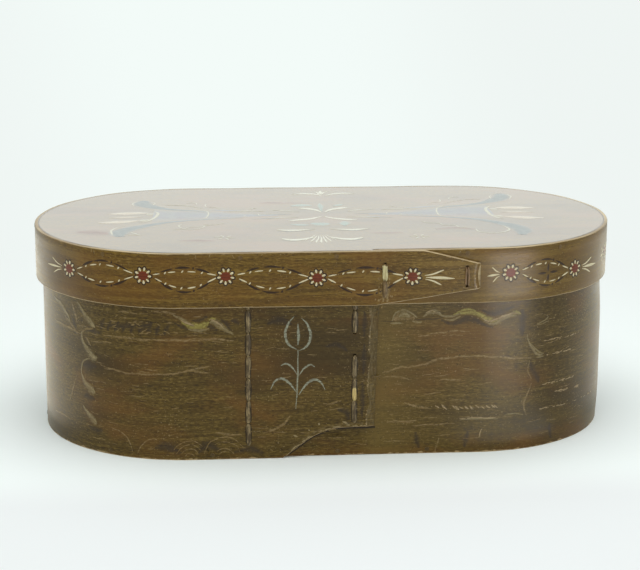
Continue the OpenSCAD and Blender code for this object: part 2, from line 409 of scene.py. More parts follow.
# %% Outlines
LAP_LEAN = math.tan(math.radians(1.6))
LEAN_FROM = 20.0
CUT_HEIGHT, CUT_X, CUT_RADIUS = 26.0, 10.0, 56.0
CUT_SIN, CUT_COS = 0.6, 0.8
TONGUE_UPPER, TONGUE_LOWER = 47.0, 86.0
TONGUE_FALL, TONGUE_RISE, TONGUE_HOLLOW = 12.0, 13.0, 2.2
HOLLOW_REACH = 9.0


def body_trim(x, up):
    """How far the lap's end leans back to the left, fading out to the left of it."""
    return (body.high - up) * LAP_LEAN * smooth(x, LEAN_FROM, body.end - body.bevel)


def body_edges(x):
    """Lower and upper edge of the outer layer: level, then an arc, then a fall of 3 in 4 to the base."""
    arc = CUT_HEIGHT - CUT_RADIUS + np.sqrt(np.maximum(CUT_RADIUS**2 - (x - CUT_X) ** 2, 0))
    fall_x = CUT_X - CUT_RADIUS * CUT_SIN
    fall_z = CUT_HEIGHT - CUT_RADIUS * (1 - CUT_COS)
    slope = fall_z - (fall_x - x) * CUT_SIN / CUT_COS
    low = np.where(x > CUT_X, CUT_HEIGHT, np.where(x > fall_x, arc, slope))
    return np.maximum(low, body.low), np.full_like(x, body.high)


def lid_trim(x, up):
    """The hollow in the tongue's tip: deepest halfway up, none at its corners."""
    tip_low, tip_high = lid.low + TONGUE_RISE, lid.high - TONGUE_FALL
    share = np.clip((2 * up - tip_low - tip_high) / (tip_high - tip_low), -1, 1)
    return TONGUE_HOLLOW * (1 - share**2) * smooth(x, lid.end - HOLLOW_REACH, lid.end)


def lid_edges(x):
    """Lower and upper edge of the outer layer, drawn together towards the tip."""
    low = lid.low + TONGUE_RISE * np.clip((x - lid.end + TONGUE_LOWER) / TONGUE_LOWER, 0, 1)
    high = lid.high - TONGUE_FALL * np.clip((x - lid.end + TONGUE_UPPER) / TONGUE_UPPER, 0, 1)
    return low, high


bottom_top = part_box("bottom_board")[1][2] / MM
body = band_sizes("body_band", start=-95.0, end=37.0, bevel=7.0, hidden_bevel=7.0, phase=0.4,
                  flare=3.2, board_height=0.0, trim=body_trim, edges=body_edges)
lid = band_sizes("lid_band", start=30.0, end=119.0, bevel=3.0, hidden_bevel=7.0, phase=1.9,
                 flare=0.0, board_height=178.0, trim=lid_trim, edges=lid_edges)
for label, band in (("body", body), ("lid", lid)):
    print(f"{label} strip {band.length:.0f} mm long, wall {band.wall:.1f} mm")

# %% [markdown]
# ## From strip to mesh
# A band is a closed section, a thin upright rectangle with softened corners, carried along the
# strip. The section's thickness shrinks where an end is thinned and its height follows the cut
# outline. Three UV maps go with it: the walk along the strip with the height, which grain and
# brush marks follow, and the distances to the lower and upper edge and to the two ends, which
# wear follows. The awl holes are then drilled with a Boolean, which keeps the maps.

# %% Mesh helpers
def tube_faces(rings, points, first=0, flip=False):
    """Faces of a closed tube of rings of points: quads between neighbouring rings and two end caps.
    Flip turns all of them round, for rings that run the other way."""
    i, j = np.meshgrid(np.arange(rings - 1), np.arange(points), indexing="ij")
    k = (j + 1) % points
    quads = np.stack([i * points + j, (i + 1) * points + j, (i + 1) * points + k, i * points + k], -1)
    quads = first + quads.reshape(-1, 4)
    cap = first + np.arange(points)
    far_cap = cap[::-1] + (rings - 1) * points
    step = -1 if flip else 1
    return quads[:, ::step].tolist() + [cap[::step].tolist(), far_cap[::step].tolist()]


def build_mesh(name, points, faces, finishes, maps=None, kinds=None, sharp=None):
    """A mesh from points in millimetres, with UV maps by point and the finish that each face has.
    Sharp is the angle in degrees from which edges stay sharp; without it all faces are flat."""
    mesh = bpy.data.meshes.new(name)
    mesh.from_pydata((points * MM).tolist(), [], faces)
    loop = np.zeros(len(mesh.loops), dtype=np.int32)
    mesh.loops.foreach_get("vertex_index", loop)
    for label, values in (maps or {}).items():
        values = values.reshape(-1, 2)[loop].astype(np.float32)
        mesh.uv_layers.new(name=label).uv.foreach_set("vector", values.ravel())
    for finish in finishes:
        mesh.materials.append(finish)
    if kinds is not None:
        mesh.polygons.foreach_set("material_index", np.array(kinds, dtype=np.int32))
    mesh.update()
    if sharp:
        mesh.shade_smooth()
        mesh.set_sharp_from_angle(angle=math.radians(sharp))
    return mesh


def link_piece(name, mesh, body_name):
    """A mesh as a piece of the object, riding on its body."""
    piece = bpy.data.objects.new(name, mesh)
    bpy.context.collection.objects.link(piece)
    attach(piece, body_name)
    return piece


print("mesh helpers ready")

# %% Band section
CORNER, CORNER_POINTS = 0.55, 4
STATION_STEP = 2.6
END_SHRINK = 0.3


def walk_stations(band):
    """Distances at which the section is set: even steps, with extra ones at both thinned ends."""
    even = np.linspace(0, band.length, int(band.length / STATION_STEP))
    soft = np.array([0.35, band.hidden_bevel, 2.0])
    ends = np.array([0.35, band.bevel, 1.4])
    return np.unique(np.round(np.concatenate([even, soft, band.length - ends]), 3))


def band_section(band, along, rows):
    """Depth below the outer face and height of every point of the section at each station.
    A point has shares: how far it is to the inner face and up to the upper edge, and how many corner
    radii it stands off the nearer face and edge. Faces are rows of points, corners quarter circles."""
    spare = band.wall - END_TIP
    outer = spare * np.clip((along - band.length + band.bevel) / band.bevel, 0, 1)
    inner = band.wall - spare * np.clip(1 - along / band.hidden_bevel, 0, 1)
    x = along - band.marks[4] - band.straight
    low, high = band.edges(np.where(along > band.marks[4], x, -band.straight))
    low = np.maximum(low + 0.12 * np.sin(along / 9.1 + band.phase) + 0.09 * np.sin(along / 3.7), band.low)
    high = high - 0.10 - 0.10 * np.sin(along / 11.3 + 1 + band.phase)
    shrink = np.where((along < 0.1) | (along > band.length - 0.1), END_SHRINK, 0.0)
    sides = (outer + shrink, inner - shrink, low + shrink, high - shrink)
    outer, inner, low, high = (side[:, None] for side in sides)
    corner = np.minimum(CORNER, 0.4 * (inner - outer))
    face = np.linspace(0, 1, rows)
    turn = np.linspace(0, math.pi / 2, CORNER_POINTS)
    near, far = 1 - np.cos(turn), 1 - np.sin(turn)
    parts = ((0, 0 * face, face, 1), (0, near[1:], 1, far[1:]), (1, far, 1, near),
             (1, 0 * face[1:], 1 - face[1:], 1), (1, near[1:], 0, far[1:]), (0, far[:-1], 0, near[:-1]))
    parts = np.hstack([np.array(np.broadcast_arrays(*part)) for part in parts])
    inward, off_face, upward, off_edge = parts
    depth = outer + inward * (inner - outer) + (1 - 2 * inward) * off_face * corner
    height = low + upward * (high - low) + (1 - 2 * upward) * off_edge * corner
    return depth, height, low, high


for label, band in (("body", body), ("lid", lid)):
    print(label, "section is set at", len(walk_stations(band)), "stations")

# %% Band mesh and awl holes
HOLE_RADIUS, HOLE_SIDES, HOLE_REACH = 1.6, 20, (-160.0, -100.0)
OUTER, INNER, EDGE = 0, 1, 2


def band_mesh(name, band, rows, finishes):
    """The whole band as one mesh: strip_point of each section point, with caps at both ends."""
    along = walk_stations(band)
    depth, height, low, high = band_section(band, along, rows)
    stations, points = depth.shape
    where = np.broadcast_to(along[:, None], depth.shape)
    place = strip_point(band, where, height, -depth).reshape(-1, 3)
    maps = {
        "walk": (where, height),
        "edge": (height - low, high - height),
        "ends": (band.length - where, where),
    }
    maps = {label: np.stack(pair, -1) * MM for label, pair in maps.items()}
    part = np.full(points, EDGE)
    part[: rows - 1] = OUTER
    inner_from = rows + 2 * CORNER_POINTS - 2
    part[inner_from : inner_from + rows - 1] = INNER
    kinds = np.concatenate([np.tile(part, stations - 1), [EDGE, EDGE]])
    return build_mesh(name, place, tube_faces(stations, points, flip=True), finishes, maps, kinds, sharp=50)


def drill(piece, places):
    """Drills awl holes straight through a band's front at each (x, z), with one Boolean."""
    turn = np.linspace(0, 2 * math.pi, HOLE_SIDES, endpoint=False)
    rim = HOLE_RADIUS * np.stack([np.cos(turn), 0 * turn, np.sin(turn)], -1)
    points = [rim + (x, y, z) for x, z in places for y in HOLE_REACH]
    faces = [face for i in range(len(places)) for face in tube_faces(2, HOLE_SIDES, 2 * HOLE_SIDES * i)]
    awl = build_mesh("awl", np.vstack(points), faces, piece.data.materials, kinds=[INNER] * len(faces))
    cutter = bpy.data.objects.new("awl", awl)
    bpy.context.collection.objects.link(cutter)
    boolean = piece.modifiers.new("awl_holes", "BOOLEAN")
    boolean.operation = "DIFFERENCE"
    boolean.solver = "EXACT"
    boolean.object = cutter
    done = bpy.data.meshes.new_from_object(piece.evaluated_get(bpy.context.evaluated_depsgraph_get()))
    piece.modifiers.clear()
    piece.data = done
    bpy.data.objects.remove(cutter)
    print(piece.name, "drilled", len(places), "holes,", len(done.polygons), "faces")


print("band maker ready")

# %% [markdown]
# ## Effects that several finishes share
# Old brushed paint and bent wood both run along the strip, so one node group makes long streaks,
# slow blotches and a height for the bump from the walk along the strip. Another scatters flecks and
# pinholes, and a third finds where an edge has worn to bare wood. The grained paint itself is a group
# too, because every brush stroke lets the ground under it show through.

# %% Streaks and flecks
g, ins = shader_group("brushed_grain", {"Streaks": "Float", "Blotches": "Float", "Height": "Float"},
                      Walk=VECTOR, Along=240.0, Across=900.0)
fine = g.grain(ins.Walk, g.add("CombineXYZ", X=ins.Along, Y=ins.Across, Z=1.0), 3, 0.6, 0.2)
coarse = g.grain(ins.Walk, (26.0, 430.0, 1.0), 4, 0.6, 0.5, at=(3.1, 7.7, 0))
blotch = g.grain(ins.Walk, (11.0, 26.0, 1.0), 4, 0.55, 0.4, at=(9.3, 1.7, 0))
brushed_grain = g.close(Streaks=fine * 0.66 + coarse * 0.34, Blotches=blotch,
                        Height=fine * 0.7 + blotch * 0.3)

g, ins = shader_group("flecks", {"Mask": "Float"}, Walk=VECTOR, Size=500.0, Amount=0.3)
speckle = g.noise(ins.Walk, ins.Size, 2, 0.5) + g.noise(ins.Walk, 22.0, 2, 0.5) * 0.2
start = 0.92 - ins.Amount * 0.3
flecks = g.close(Mask=speckle.remap(start, start + 0.07))

g, ins = shader_group("edge_wear", {"Mask": "Float"}, Walk=VECTOR, Edge=VECTOR, Low_reach=0.0012,
                      High_reach=0.0012)
ragged = g.grain(ins.Walk, (160.0, 420.0, 1.0), 4, 0.6).remap(0.35, 0.75, 0.1, 1.6)
low_worn = ins.Low_reach * ragged - g.axis(ins.Edge, "X")
high_worn = ins.High_reach * ragged - g.axis(ins.Edge, "Y")
edge_wear = g.close(Mask=g.math("MAXIMUM", low_worn, high_worn).remap(-0.0002, 0.0004))
print("shared effects:", ", ".join(group.name for group in bpy.data.node_groups))

# %% Grained paint
DUST, PIT = paint(150, 128, 88), paint(30, 21, 11)
g, ins = shader_group("grained_paint", {"Colour": "Color", "Streaks": "Float", "Height": "Float"},
                      Walk=VECTOR, Deep=COLOUR, Middle=COLOUR, Light=COLOUR, Warm=COLOUR,
                      Warmth=0.5, Dust=0.5, Panel_from=0.0, Panel_to=0.0, Panel_lift=0.0,
                      Start_lift=0.0, Border=0.0, Long=0.0)
grain = g.group(brushed_grain, Walk=ins.Walk)
drag = g.grain(ins.Walk, (7.0, 250.0, 1.0), 4, 0.6, 0.3, at=(1.3, 8.9, 0))
cloud = g.grain(ins.Walk, (7.0, 15.0, 1.0), 3, at=(2.3, 5.1, 0))
place = g.axis(ins.Walk, "X")
into = place - ins.Panel_from
past = place - ins.Panel_to
# On the body the lifted stretch is the lighter panel; on the lid it is partly painted sheen.
panel = into.remap(0.0, 0.02) * (ins.Panel_to - place).remap(0.0, 0.055)
lift = ins.Panel_lift + ins.Start_lift * into.remap(0.02, 0.065, 1.0, 0.0)
# Beyond it the border is darkened: painted shade.
border_shade = past.remap(-0.006, 0.008) * past.remap(0.04, 0.10, 1.0, 0.0)
dust = g.group(flecks, Walk=ins.Walk, Size=620.0, Amount=ins.Dust).Mask
pits = g.group(flecks, Walk=g.stretch(ins.Walk, (1, 1, 1), (4.4, 2.2, 0)), Size=520.0, Amount=0.5).Mask
colour = g.layers(
    ins.Deep,
    (grain.Streaks.remap(0.38, 0.50), ins.Middle),
    (grain.Streaks.remap(0.50, 0.64), ins.Light),
    (drag.remap(0.50, 0.62) * ins.Long, ins.Deep),
    (drag.remap(0.36, 0.46, 1.0, 0.0) * ins.Long, ins.Light),
    (grain.Blotches.remap(0.45, 0.66) * ins.Warmth, ins.Warm),
    (cloud.remap(0.48, 0.70, 0.0, 0.7), ins.Deep),
    (panel * lift, ins.Light),
    (border_shade * ins.Border, ins.Deep),
    (dust * 0.55, DUST),
    (pits * 0.7, PIT),
)
grained_paint = g.close(Colour=colour, Streaks=grain.Streaks, Height=grain.Height - pits * 0.35)
print("node groups:", len(bpy.data.node_groups))

# %% [markdown]
# ## Painted bands
# The body was grained with a brush in dark umber, the lid in a warmer brown, and both were
# varnished. One group paints both grounds: streaks move between three browns, blotches warm
# them, and specks and pinholes break them. The body's right-hand panel was grained in a lighter
# tone, so the group can lift one stretch of the strip, more at its start beside the lap, and darken
# the border beyond it: that darker border is painted shade, where the varnish stops mirroring the
# bright floor. On the lid the same lift, along its front right, is partly painted sheen. Worn edges
# show pale wood. The thinned end of the lap is greyer, partly rubbed more than the rest and partly
# painted sheen from its varnished bevel, with a chipped pale ridge beside it.

# %% Grounds and varnish
# The body's darker border is painted shade.
BODY_GROUND = dict(Deep=paint(54, 39, 8), Middle=paint(81, 62, 16), Light=paint(113, 92, 43),
                   Warm=paint(106, 69, 23), Warmth=0.55, Dust=0.58, Panel_from=0.110, Panel_to=0.262,
                   Panel_lift=0.09, Start_lift=0.4, Border=0.3, Long=0.22)
# The lid's lift along its front right is partly painted sheen.
LID_GROUND = dict(Deep=paint(72, 49, 8), Middle=paint(98, 73, 18), Light=paint(129, 101, 40),
                  Warm=paint(111, 73, 18), Warmth=0.5, Panel_from=0.02, Panel_to=0.32, Panel_lift=0.18,
                  Long=0.5)
DULL_VARNISH = dict(Specular_IOR_Level=0.22, Sheen_Weight=0.14, Sheen_Roughness=0.35,
                    Sheen_Tint=paint(255, 240, 205))
BARE_WOOD = paint(176, 150, 108)
print("settings of the body ground:", len(BODY_GROUND), "and of the lid ground:", len(LID_GROUND))


# %% Band finishes
def band_paint(name, ground, wear, lap, gloss):
    """Old brushed paint on a bent strip over bare wood. Wear is how far its two edges have worn.
    Lap gives the thinned end's length, its grey colour, partly rubbed paint and partly painted sheen, and
    the height where that grey ends."""
    thin, rubbed, grey_top = lap
    material, g = new_material(name)
    walk = g.uv("walk")
    old = g.group(grained_paint, Walk=walk, **ground)
    to_end = g.axis(g.uv("ends"), "X")
    scuffs = g.grain(walk, (700.0, 110.0, 1.0), 4, 0.6).remap(0.38, 0.66, 0.25, 0.85)
    bevelled = to_end.remap(thin - 0.0003, thin + 0.0003, 1.0, 0.0)
    thinned = bevelled * to_end.remap(0.2 * thin, thin, 0.6, 1.0)
    thinned = thinned * g.axis(walk, "Y").remap(grey_top - 0.012, grey_top + 0.012, 1.0, 0.3)
    low_reach = to_end.remap(0.085, 0.105, 0.3 * wear[0], wear[0])
    worn = g.group(edge_wear, Walk=walk, Edge=g.uv("edge"), Low_reach=low_reach, High_reach=wear[1]).Mask
    chips = g.noise(walk, 330.0, 3, 0.6).remap(0.5, 0.62)
    ridge = abs(to_end - thin).remap(0.0003, 0.0011, 1.0, 0.0) * chips
    worn = g.math("MAXIMUM", worn, ridge)
    # The thinned end's grey is partly rubbed paint and partly painted sheen from its varnished bevel.
    g.surface(Base_Color=g.layers(old.Colour, (scuffs * thinned, rubbed), (worn * 0.8, BARE_WOOD)),
              Roughness=old.Streaks.remap(0.3, 0.7, gloss, gloss + 0.16) + bevelled * 0.45,
              Normal=g.bump(old.Height - worn * 0.35, 0.35, 0.00025), **DULL_VARNISH)
    return material


def bare_band_wood(name, pale, dark, rim_coat=0.0):
    """Unpainted bent wood: long fibres along the strip, grime in the blotches, varnish on the upper rim."""
    material, g = new_material(name)
    grain = g.group(brushed_grain, Walk=g.uv("walk"), Along=7.0, Across=420.0)
    colour = g.layers(dark, (grain.Streaks.remap(0.36, 0.64), pale),
                      (grain.Blotches.remap(0.5, 0.75, 0.0, 0.5), dark))
    g.surface(Base_Color=colour, Roughness=grain.Streaks.remap(0.3, 0.7, 0.62, 0.8),
              Normal=g.bump(grain.Height, 0.4, 0.0003), Specular_IOR_Level=0.25, Coat_Roughness=0.16,
              Coat_Weight=g.axis(g.uv("edge"), "Y").remap(0.0002, 0.0006, rim_coat, 0.0))
    return material


# The body lap's grey-brown is partly rubbing and partly painted sheen, below 140 mm.
body_paint = band_paint("grained_umber", BODY_GROUND, wear=(0.0015, 0.0003),
                        lap=(0.007, paint(116, 101, 72), 0.14), gloss=0.30)
lid_paint = band_paint("varnished_brown", LID_GROUND, wear=(0.0007, 0.0008),
                       lap=(0.003, paint(124, 98, 62), 1.0), gloss=0.28)
inside_wood = bare_band_wood("inside_bent_wood", paint(172, 138, 92), paint(122, 90, 54))
edge_wood = bare_band_wood("worn_edge_wood", paint(186, 160, 120), paint(112, 86, 52))
rim_wood = bare_band_wood("varnished_rim_wood", paint(194, 172, 132), paint(140, 115, 76), 0.5)
print("band finishes ready")

# %% [markdown]
# ## The two bands
# The model's bands are plain solids with sharp edges. They could be bevelled where they are, but they
# have no walk along the strip for the paint to follow, so the new meshes replace their CAD nodes.
# The seams' places are those of the model: two upright rows of holes through the body's lap, a row
# at the heel of the lid's tongue and a pair at its tip.

# %% Bands
STITCH_PITCH, TIP_HALF_SPAN = 19.5, 7.75
SEAM_MARGIN, TOP_MARGIN, HEEL_MARGIN = 3.5, 12.0, 6.5
LEFT_SEAM_IN, RIGHT_SEAM_IN, HEEL_SEAM_OUT, TIP_SEAM_IN = 23.0, 21.0, 2.8, 11.5
left_seam_x, right_seam_x = body.start + LEFT_SEAM_IN, body.end - RIGHT_SEAM_IN
heel_seam_x, tip_seam_x = body.end + HEEL_SEAM_OUT, lid.end - TIP_SEAM_IN
seam_top = body.high - TOP_MARGIN
left_holes = np.arange(bottom_top + SEAM_MARGIN, seam_top, STITCH_PITCH)
right_holes = np.arange(CUT_HEIGHT + SEAM_MARGIN, seam_top, STITCH_PITCH)
heel_holes = np.linspace(lid.low + HEEL_MARGIN, body.high - SEAM_MARGIN, 3)
tip_middle = (lid.low + TONGUE_RISE + lid.high - TONGUE_FALL) / 2
tip_holes = tip_middle + np.array([-TIP_HALF_SPAN, TIP_HALF_SPAN])
body_seams = ((left_seam_x, left_holes), (right_seam_x, right_holes))
lid_seams = ((heel_seam_x, heel_holes), (tip_seam_x, tip_holes))


def make_band(name, band, node, body_name, finishes, rows, seams):
    """A band's mesh with its finishes, drilled along its seams, in place of its CAD node."""
    piece = link_piece(name, band_mesh(name, band, rows, finishes), body_name)
    drill(piece, [(x, z) for x, heights in seams for z in heights])
    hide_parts(node)


make_band("bent_body", body, "body_band", "box", (body_paint, inside_wood, edge_wood),
          rows=18, seams=body_seams)
make_band("bent_lid", lid, "lid_band", "lid", (lid_paint, inside_wood, rim_wood),
          rows=8, seams=lid_seams)

# %% [markdown]
# ## Boards and pegs
# The boards are plain sawn softwood. Their CAD shapes are right, so they stay, and the finish
# reads their Object coordinates: growth rings as bands across the board, bent by noise, with
# fine fibres along it. A picture of wood could do the same, but it would repeat and blur close up.
# The lid board is painted and varnished on top and bare below.

# %% Board finishes
TOP_GROUND = dict(Deep=paint(90, 66, 30), Middle=paint(118, 91, 46), Light=paint(144, 117, 68),
                  Warm=paint(134, 94, 56), Warmth=0.6)
TOP_GLOSS = 0.16


def board_wood(g, position, pale, dark):
    """Colour and height of a sawn board: warped growth rings and fine fibres along x."""
    warp = g.grain(position, (1.2, 9.0, 9.0), 3)
    rings = g.add("TexWave", 1, {"bands_direction": "Y"}, Vector=g.stretch(position, (0.35, 1, 1)),
                  Scale=24.0, Distortion=7.0, Detail=2.0, Detail_Scale=0.8)
    fibres = g.grain(position, (18.0, 700.0, 700.0))
    colour = g.layers(pale, (rings.remap(0.35, 0.95), dark), (fibres.remap(0.35, 0.7, 0.0, 0.5), dark),
                      (warp.remap(0.45, 0.75, 0.0, 0.4), dark))
    return colour, fibres


def top_varnish(g, old, coat):
    """The lid top's gloss over old paint, with its coat where it is left."""
    g.surface(Roughness=old.Streaks.remap(0.3, 0.7, 0.34, 0.46), Coat_Weight=coat, Coat_Roughness=TOP_GLOSS,
              Normal=g.bump(old.Height, 0.12, 0.0002))


def coat_node(node, finish):
    """Puts a finish on a CAD node's own material slots."""
    slots = nodes[node].material_slots
    if not slots:
        nodes[node].data.materials.append(finish)
    for entry in slots:
        entry.material = finish


def peg_finish(name, pale, dark):
    """A peg's end, painted over with the band and a little rubbed."""
    material, g = new_material(name)
    rub = g.noise(g.add("TexCoord", "Object"), 700.0, 3)
    g.surface(Base_Color=g.mix(rub.remap(0.4, 0.7), dark, pale), Roughness=rub.remap(0.3, 0.7, 0.45, 0.65),
              Normal=g.bump(rub, 0.4, 0.0003), **DULL_VARNISH)
    return material


print("board finishes ready")

# %% Boards and pegs
bottom_finish, g = new_material("bottom_board_wood")
colour, fibres = board_wood(g, g.add("TexCoord", "Object"), paint(178, 143, 96), paint(134, 100, 62))
g.surface(Base_Color=colour, Roughness=fibres.remap(0.3, 0.7, 0.6, 0.8), Normal=g.bump(fibres, 0.3, 0.0003),
          Specular_IOR_Level=0.25)
coat_node("bottom_board", bottom_finish)

lid_board_finish, g = new_material("lid_board_paint")
position = g.add("TexCoord", "Object")
bare, fibres = board_wood(g, position, paint(172, 138, 92), paint(128, 96, 58))
old = g.group(grained_paint, Walk=g.stretch(position, (1, 1, 0)), **TOP_GROUND)
top = g.math("GREATER_THAN", g.axis(position, "Z"), (lid.high - 0.5) * MM)
g.surface(Base_Color=g.mix(top, bare, old.Colour))
top_varnish(g, old, top)
coat_node("lid_board", lid_board_finish)

coat_node("bottom_pegs", peg_finish("body_peg", paint(98, 79, 46), paint(74, 58, 31)))
coat_node("lid_pegs", peg_finish("lid_peg", paint(116, 91, 50), paint(92, 70, 35)))
print("boards and pegs finished")

# %% [markdown]
# ## Root lacing
# A split root is flat on the wood and round above. A curve with a round bevel would do for a cord,
# but not for that, so the rings are worked out. Each stitch comes out of one awl hole, lies
# along the lap and dives into the next. Its line is a super-ellipse over the span, level for most
# of its length and steep at both ends, and the section thins where it dives, so that the dark
# hole shows beside it. Stitches inside the box are the same, mirrored through the wall.

# %% Root finish
BARE_BLUR = 0.0006


def root_finish(name, pale, dark, bare=None):
    """Split root: long fibres up the stitch, pale on the ridges and dark between them.
    Bare gives two heights between which the paint has come off, and the root's own two colours."""
    material, g = new_material(name)
    position = g.add("TexCoord", "Object")
    fibre = g.grain(position, (1500.0, 1500.0, 90.0), 4, 0.6)
    rub = g.grain(position, (300.0, 300.0, 160.0), 3)
    ridges = fibre.remap(0.34, 0.66)
    colour = g.layers(dark, (ridges, pale), (rub.remap(0.45, 0.62, 0.0, 0.85), dark))
    if bare:
        low, high, bare_pale, bare_dark = bare
        height = g.axis(position, "Z") + (rub - 0.5) * 0.008
        above = height.remap(low * MM - BARE_BLUR, low * MM + BARE_BLUR)
        below = height.remap(high * MM - BARE_BLUR, high * MM + BARE_BLUR, 1.0, 0.0)
        colour = g.mix(above * below, colour, g.mix(ridges, bare_dark, bare_pale))
    g.surface(Base_Color=colour, Roughness=fibre.remap(0.3, 0.7, 0.5, 0.7),
              Normal=g.bump(fibre, 0.6, 0.0003), Specular_IOR_Level=0.3)
    return material


PAINTED = (paint(152, 132, 94), paint(66, 51, 29))
RUBBED = (paint(134, 111, 70), paint(86, 64, 34))
CHIPPED = (48.5, 60.0, paint(208, 186, 124), paint(164, 136, 80))
CHAFED = (153.5, 165.5, paint(206, 196, 148), paint(156, 140, 94))
painted_root = root_finish("painted_root", *PAINTED)
chipped_root = root_finish("chipped_root", *PAINTED, CHIPPED)
rubbed_root = root_finish("rubbed_root", *RUBBED)
pale_root = root_finish("pale_root", *RUBBED, CHAFED)
tip_root = root_finish("tip_root", paint(150, 119, 82), paint(88, 64, 40))
print("root finishes ready")

# %% Lacing
ROOT_RISE, ROOT_DIVE = 1.5, 2.0
STITCH_RINGS, STITCH_SIDES = 30, 12
ALL_SMOOTH = 180
BARE_GAP = 3


def stitch(band, x, low, high, width, inside, sway):
    """Rings of one stitch: a flattened ellipse, carried along a super-ellipse in height and lift."""
    run = np.sin(np.linspace(-1, 1, STITCH_RINGS) * math.pi / 2)[:, None]
    half = (high - low) / 2 - 0.3
    up = (high + low) / 2 + half * run
    lift = -ROOT_DIVE + (ROOT_DIVE + 0.42 * ROOT_RISE) * (1 - np.abs(run) ** 10) ** 0.4
    slope_up, slope_lift = np.gradient(up[:, 0]), np.gradient(lift[:, 0])
    size = np.hypot(slope_up, slope_lift)
    tip_up, tip_lift = (-slope_lift / size)[:, None], (slope_up / size)[:, None]
    turn = np.linspace(0, 2 * math.pi, STITCH_SIDES, endpoint=False)[None, :]
    knots = 1 + 0.07 * np.sin(run * 5.1 + sway) + 0.04 * np.sin(run * 13 + 3 * sway)
    taper = 0.66 + 0.34 * (1 - run**8)
    across = width / 2 * knots * taper * np.cos(turn) + 0.18 * np.sin(run * 2.2 + sway)
    above = ROOT_RISE / 2 * np.where(np.sin(turn) > 0, 1.15, 0.75) * np.sin(turn) * knots
    layer_start = -band.start if inside else band.length - band.end
    face = lift + above * tip_lift
    face = -band.wall - face if inside else face
    return strip_point(band, layer_start + x + across, up + above * tip_up, face)


def lace(name, node, body_name, band, seam, strands, finishes, bare_runs=(), worn_runs=()):
    """A seam's stitches outside and inside as one piece; strands gives (offset, width) side by side.
    Outside, bare runs have the second finish, and worn runs have lost their stitch."""
    x, heights = seam
    points, faces, kinds = [], [], []
    for inside in (False, True):
        for i, span in enumerate(zip(heights, heights[1:])):
            if not inside and i in worn_runs:
                continue
            for offset, width in strands:
                rings = stitch(band, x + offset, *span, width, inside, i + x + offset)
                faces += tube_faces(*rings.shape[:2], first=len(points), flip=inside)
                points += rings.reshape(-1, 3).tolist()
                kinds += [int(i in bare_runs and not inside)] * (len(faces) - len(kinds))
    mesh = build_mesh(name, np.array(points), faces, finishes, kinds=kinds, sharp=ALL_SMOOTH)
    piece = link_piece(name, mesh, body_name)
    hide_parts(node)
    print(name, len(mesh.polygons), "faces")


ROOT, WIDE_ROOT, PAIR = [(0.0, 3.6)], [(0.0, 4.3)], [(-0.95, 1.7), (0.95, 1.7)]
lace("left_seam_root", "body_left_lacing", "box", body, body_seams[0], ROOT, (painted_root,))
lace("right_seam_root", "body_right_lacing", "box", body, body_seams[1], ROOT, (painted_root, chipped_root),
     bare_runs=(1,), worn_runs=(BARE_GAP,))
lace("heel_seam_root", "lid_heel_lacing", "lid", lid, lid_seams[0], WIDE_ROOT, (rubbed_root, pale_root),
     bare_runs=(1,))
lace("tip_seam_root", "lid_tip_lacing", "lid", lid, lid_seams[1], PAIR, (tip_root,))

# %% [markdown]
# ## Brush strokes
# The ornament was laid on with a loaded brush, so each stroke is a thin bead of paint: thickest in
# the middle, with a tapered start and end. A stroke is given as a few rows of place and width. A
# smooth curve through the rows carries a flat, lens-shaped section. Strokes of one colour are one
# piece. It uses the same walk as the band under it and so lies on it everywhere. Its UV maps are
# that walk, so that the old ground shows where paint is thin, and the place along and across
# the stroke, for bristle marks and soft rims.

# %% Surfaces to paint on
def band_surface(band, along, ground, rider, slot):
    """Places on a band's outer face, by the distance right of the front's middle and the height."""
    return SimpleNamespace(
        at=lambda across, up, lift: strip_point(band, along(across), up, lift),
        walk=lambda across, up: np.stack([along(across), up], -1),
        ground=ground, rider=rider, slot=slot)


on_body = band_surface(body, lambda across: front_along(body, across), BODY_GROUND, "box", "body_paint")
under_lap = band_surface(body, lambda across: across - body.start, BODY_GROUND, "box", "body_paint")
on_lid = band_surface(lid, lambda across: front_along(lid, across), LID_GROUND, "lid", "lid_paint")
on_top = SimpleNamespace(
    at=lambda x, y, lift: np.stack([x, y, lid.high + lift], -1),
    walk=lambda x, y: np.stack([x, y], -1),
    ground=TOP_GROUND, rider="lid", slot="lid_paint")
print("surfaces ride on:", ", ".join(s.rider for s in (on_body, under_lap, on_lid, on_top)))

# %% Stroke maker
SECTION_SIDES = 8
SUNK = 0.05
STROKE_STEP, MOST_RINGS = 2.2, 60
LEAST_WIDTH, FULL_HALF = 0.15, 0.6


def smooth_run(rows, count):
    """Even steps along a Catmull-Rom curve through the rows, in all their columns."""
    rows = np.array(rows, dtype=float)
    rows = np.vstack([2 * rows[0] - rows[1], rows, 2 * rows[-1] - rows[-2]])
    step = np.linspace(0, len(rows) - 3, count)
    i = np.minimum(step.astype(int), len(rows) - 4)
    f = (step - i)[:, None]
    a, b, c, d = (rows[i + k] for k in range(4))
    return b + 0.5 * f * (c - a + f * (2 * a - 5 * b + 4 * c - d + f * (3 * (b - c) + d - a)))


